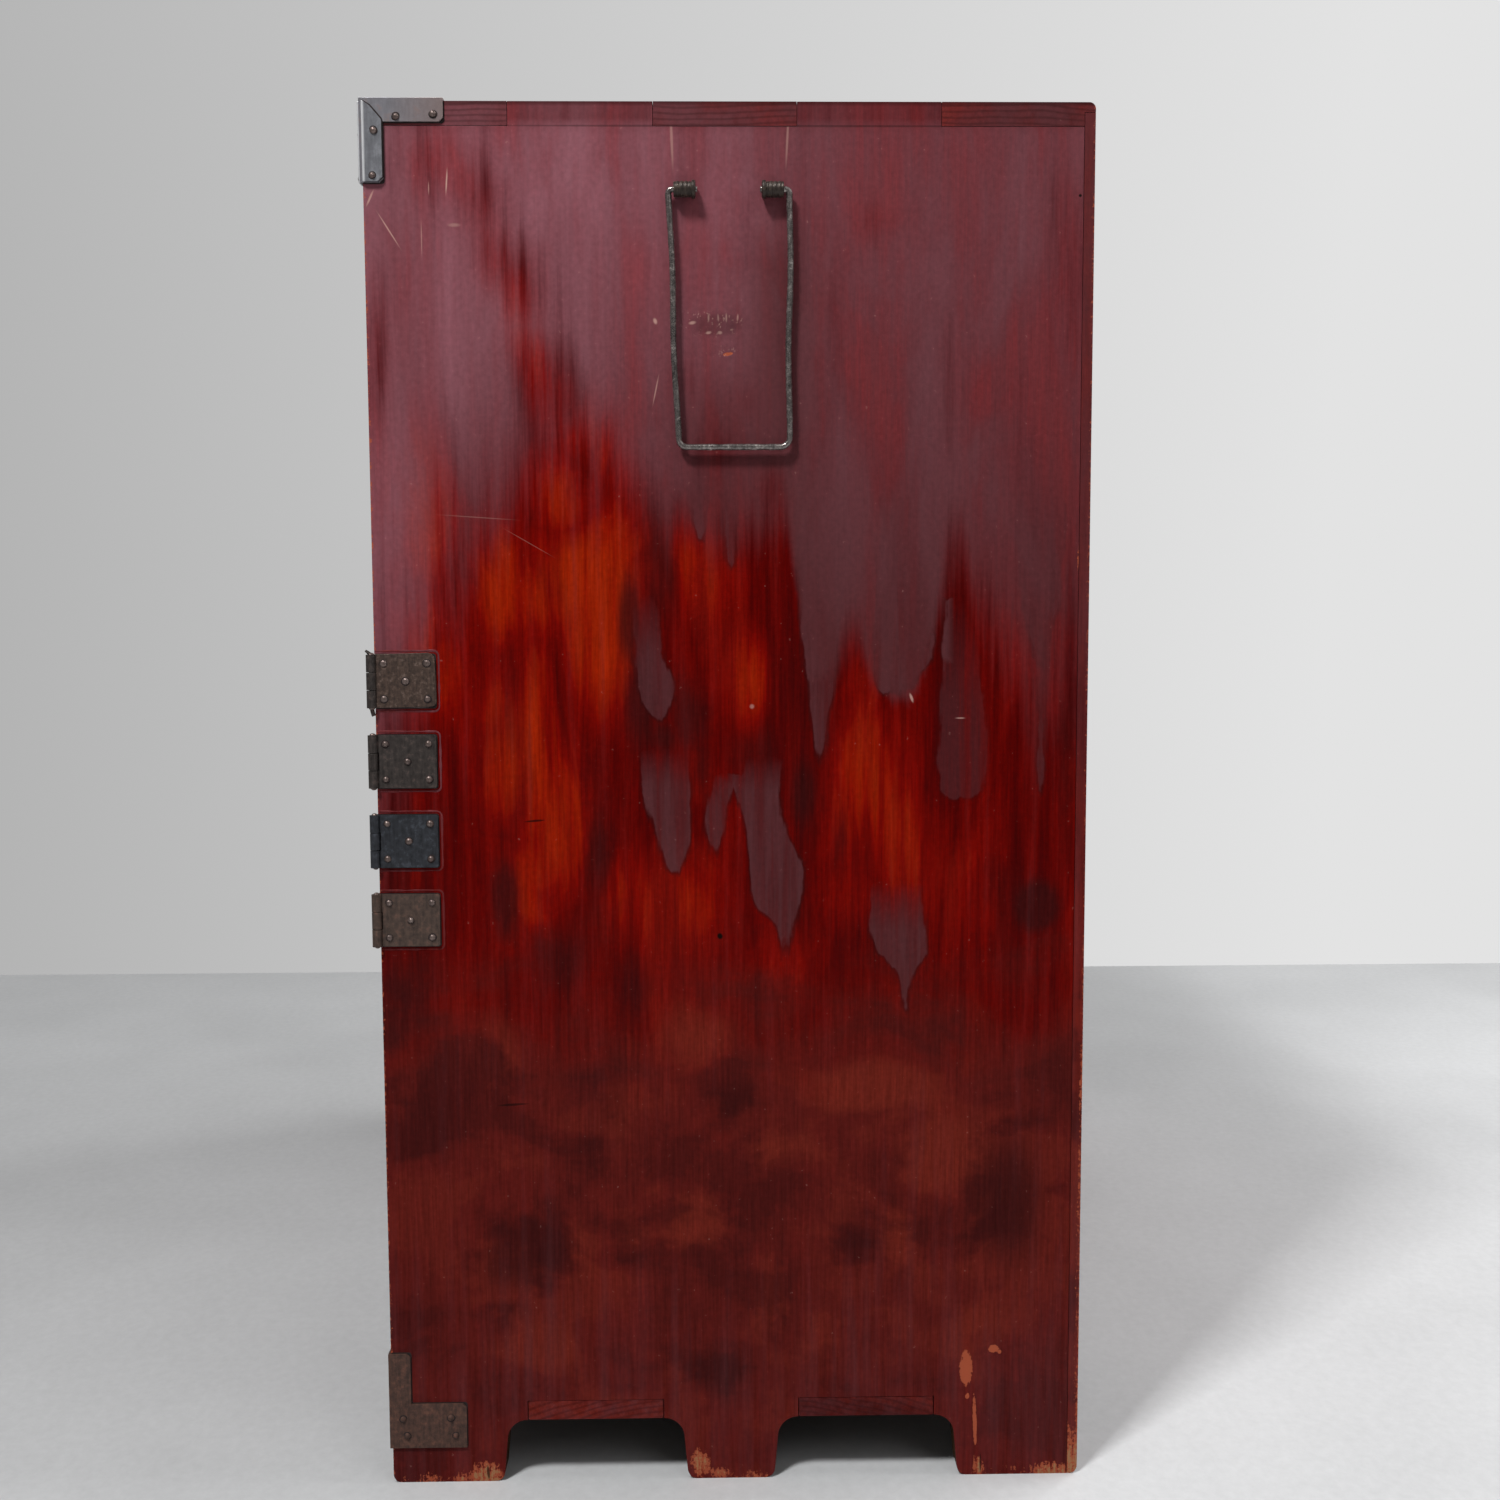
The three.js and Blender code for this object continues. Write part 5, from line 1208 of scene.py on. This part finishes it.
class CHEST_OT_carry_bails(bpy.types.Operator):
    """Forge the two carrying bails and roll their eyes"""
    bl_idname = "chest.carry_bails"
    bl_label = "Carrying bails"

    def execute(self, context):
        sizes = context.scene.chest_sizes
        radius, long = sizes.bail_radius, sizes.barrel_length
        for flank, sign in FLANKS:
            eye_low, eye_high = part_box(flank + "_bail_eye_front")
            back_low, back_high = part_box(flank + "_bail_eye_back")
            low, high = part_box(flank + "_carry_bail")
            x = (low.x + high.x) / 2
            axis_z = high.z - BAIL_AXIS * MM
            front_tip, back_tip = eye_high.y + BAIL_TIP * MM, back_low.y - BAIL_TIP * MM
            front_leg, back_leg = low.y + BAR_MIDDLE * MM, high.y - BAR_MIDDLE * MM
            foot = low.z + BAR_MIDDLE * MM - sizes.bail_sag
            barrels = joined((
                barrel((x, eye_low.y + long / 2, axis_z), (0, 1, 0), sizes.barrel_radius, long),
                barrel((x, back_high.y - long / 2, axis_z), (0, -1, 0), sizes.barrel_radius, long)))
            put(flank + "_rolled_eyes", *barrels, "eye_iron", "case", "black_iron")
            corners = [(x, y, z) for y, z in (
                (front_tip, axis_z), (front_leg, axis_z), (front_leg + BAIL_LEAN * MM, foot),
                (back_leg, foot), (back_leg, axis_z), (back_tip, axis_z))]
            path, run = bent_route(corners, np.array(BAIL_BENDS) * MM, BAIL_STEP)
            # Old legs are never quite straight
            down = math.pi * np.clip((axis_z - path[:, 2]) / (axis_z - foot), 0, 1)
            path[:, 1] += BAIL_WAVE * MM * np.sin(down) * np.sin(2.2 * down)
            size = radius * hammered(run, 41, 0.045)
            thick = radius * hammered(run, 42, 0.04)
            rings = swept(path, (1, 0, 0), size, thick, sides=16, power=2.1)
            put(flank + "_carry_loop", *ring_solid(rings), "bar_iron", flank + "_carry_bail",
                "black_iron", hides=(flank + "_carry_bail",))
            fittings((flank + "_bail_eye_front", flank + "_bail_eye_back"), "eye_iron",
                     EYE_EASE)
        return {"FINISHED"}


class CHEST_OT_pulls(bpy.types.Operator):
    """Dress the drawer pulls and the lock plate"""
    bl_idname = "chest.pulls"
    bl_label = "Pulls and lock plate"

    def execute(self, context):
        sizes = context.scene.chest_sizes
        radius = sizes.pull_radius
        for drawer in DRAWERS:
            fittings((drawer + "_pull_plate",), "black_iron", sizes.sheet_ease)
            low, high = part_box(drawer + "_pull_plate")
            self.nails(drawer + "_pull_nails", drawer, [
                (x, high.y - PLATE_NAIL_OUT * MM, (low.z + high.z) / 2)
                for x in (low.x + PLATE_NAIL_IN * MM, high.x - PLATE_NAIL_IN * MM)])
            low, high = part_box(drawer + "_pull")
            middle, y, half = (low.x + high.x) / 2, (low.y + high.y) / 2, (high.x - low.x) / 2
            leg, tip = half - PULL_MIDDLE * MM, half - PULL_TIP * MM
            top, foot = high.z - PULL_MIDDLE * MM, low.z + PULL_MIDDLE * MM
            corners = [(middle + x, y, z) for x, z in (
                (-tip, top), (-leg, top), (-leg, foot), (leg, foot), (leg, top), (tip, top))]
            path, run = bent_route(corners, np.array(PULL_BENDS) * MM, BAR_STEP)
            # Each pull is thickest where the hand takes it
            swell = 1 + sizes.pull_swell * np.exp(-((path[:, 0] - middle) / PULL_HAND / MM) ** 2) * (
                path[:, 2] < foot + 3 * MM)
            size = radius * swell * hammered(run, 71, 0.04)
            put(drawer + "_pull_bar", *ring_solid(swept(path, (0, 1, 0), size, radius, sides=16)),
                "bar_iron", drawer + "_pull", "black_iron", hides=(drawer + "_pull",))
        fittings(("safe_door_lock_plate",), "black_iron", sizes.sheet_ease)
        low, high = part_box("safe_door_lock_plate")
        self.nails("lock_plate_nails", "safe_door", [
            (x, low.y, z) for x in (low.x + LOCK_NAIL_IN * MM, high.x - LOCK_NAIL_IN * MM)
            for z in (low.z + LOCK_NAIL_UP * MM, high.z - LOCK_NAIL_UP * MM)])
        return {"FINISHED"}

    def nails(self, name, body, places):
        """Drives nails into a front plate."""
        nails(name, [(places, (0, -1, 0), 81, None)], "nail_iron", body, "black_iron")


class CHEST_OT_studio(bpy.types.Operator):
    """Set up the camera, the pale floor and the soft light"""
    bl_idname = "chest.studio"
    bl_label = "Studio"

    def execute(self, context):
        scene = context.scene
        settings = scene.chest_studio
        scene.view_settings.view_transform = "Standard"
        pitch, yaw, roll = settings.pitch, -settings.yaw, settings.roll
        level = math.cos(pitch)
        ahead = -Vector((level * math.cos(yaw), level * math.sin(yaw), math.sin(pitch)))
        right = ahead.cross(Vector((0, 0, 1))).normalized()
        above = right.cross(ahead)
        leant = right * math.cos(roll) + above * math.sin(roll)
        upright = above * math.cos(roll) - right * math.sin(roll)
        camera = bpy.data.objects.new("camera", bpy.data.cameras.new("camera"))
        camera.data.lens = settings.lens
        camera.data.sensor_width = 36.0
        camera.matrix_world = Matrix((leant, upright, -ahead)).transposed().to_4x4()
        camera.location = settings.place
        scene.collection.objects.link(camera)
        scene.camera = camera

        def floor_build(tree):
            point = chest_point(tree)
            # Roller-painted concrete: broad worn patches, and a paint stipple some 8 mm across
            patches = add(tree, "TexNoise", {0: point, 2: 0.002, 3: 5.0, 4: 0.6})
            stipple = add(tree, "TexNoise", {0: point, 2: 0.12, 3: 4.0, 4: 0.7})
            mixed = add(tree, "Mix", {0: 0.4, 2: patches, 3: stipple})
            shade = add(tree, "MapRange", {0: mixed, 1: 0.35, 2: 0.65, 3: 0.9, 4: 1.08})
            tone = add(tree, "Mix", {0: 1.0, 6: settings.floor, 7: shade}, blend_type="MULTIPLY",
                       **COLOUR_MIX)
            rough = add(tree, "MapRange", {0: patches, 1: 0.3, 2: 0.7, 3: 0.45, 4: 0.65})
            bump = add(tree, "Bump", {"Strength": 0.2, "Distance": 0.5 * MM, "Height": stipple})
            return {"Base Color": tone, "Roughness": rough, "Normal": bump}

        far, near = -settings.wall_back, 6.0
        corners = [(far, -6, 0), (near, -6, 0), (near, 6, 0), (far, 6, 0)]
        mesh = bpy.data.meshes.new("floor")
        mesh.from_pydata(corners, [], [(0, 1, 2, 3)])
        mesh.materials.append(finish_with("painted_studio_floor", floor_build))
        floor = bpy.data.objects.new("floor", mesh)
        scene.collection.objects.link(floor)

        world = bpy.data.worlds.new("studio")
        scene.world = world
        world.use_nodes = True
        tree = world.node_tree
        tree.nodes.clear()
        # The backdrop that the camera sees is darker at the left and paler at the right: painted light
        # falloff on the wall. Other rays see an even dim grey.
        direction = add(tree, "SeparateXYZ", {0: add(tree, "TexCoord", {}, out=0)}, out=None)
        share = add(tree, "MapRange", {0: direction.outputs[1], 1: -0.4, 2: 0.35})
        wall = add(tree, "Mix", {0: share, 6: settings.wall_left, 7: settings.wall_right}, **COLOUR_MIX)
        seen = add(tree, "LightPath", {}, out=0)
        shown = add(tree, "Background", {"Color": wall, "Strength": 1.0})
        lighting = add(tree, "Background", {"Color": (0.5, 0.5, 0.5, 1), "Strength": 0.3})
        either = add(tree, "MixShader", {0: seen, 1: lighting, 2: shown})
        add(tree, "OutputWorld", {"Surface": either}, out=None)

        for name, (place, aim, size, power) in LAMPS.items():
            lamp = bpy.data.lights.new(name, "AREA")
            lamp.size = size
            lamp.energy = power
            light = bpy.data.objects.new(name, lamp)
            light.location = place
            toward = Vector(aim) - Vector(place)
            light.rotation_euler = toward.to_track_quat("-Z", "Y").to_euler()
            scene.collection.objects.link(light)
        return {"FINISHED"}


class CHEST_PT_panel(bpy.types.Panel):
    """Lists the chest's pieces and settings in the sidebar"""
    bl_label = "Ship chest"
    bl_idname = "CHEST_PT_panel"
    bl_space_type = "VIEW_3D"
    bl_region_type = "UI"
    bl_category = "Ship chest"

    def draw(self, context):
        for operator in OPERATORS:
            self.layout.operator(operator.bl_idname)
        for group in ("chest_colours", "chest_sizes", "chest_studio"):
            settings = getattr(context.scene, group)
            for name in settings.__annotations__:
                self.layout.prop(settings, name)


OPERATORS = (CHEST_OT_studio, CHEST_OT_boards, CHEST_OT_drawers, CHEST_OT_brackets,
             CHEST_OT_hinges, CHEST_OT_carry_bails, CHEST_OT_pulls)
CLASSES = (ChestColours, ChestSizes, StudioSettings, *OPERATORS, CHEST_PT_panel)


def register():
    for item in CLASSES:
        bpy.utils.register_class(item)
    bpy.types.Scene.chest_colours = bpy.props.PointerProperty(type=ChestColours)
    bpy.types.Scene.chest_sizes = bpy.props.PointerProperty(type=ChestSizes)
    bpy.types.Scene.chest_studio = bpy.props.PointerProperty(type=StudioSettings)


def unregister():
    del bpy.types.Scene.chest_studio
    del bpy.types.Scene.chest_sizes
    del bpy.types.Scene.chest_colours
    for item in reversed(CLASSES):
        bpy.utils.unregister_class(item)


def main():
    """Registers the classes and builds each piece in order."""
    register()
    bpy.ops.chest.studio()
    bpy.ops.chest.boards()
    bpy.ops.chest.drawers()
    bpy.ops.chest.brackets()
    bpy.ops.chest.hinges()
    bpy.ops.chest.carry_bails()
    bpy.ops.chest.pulls()


if __name__ == "__main__":
    main()
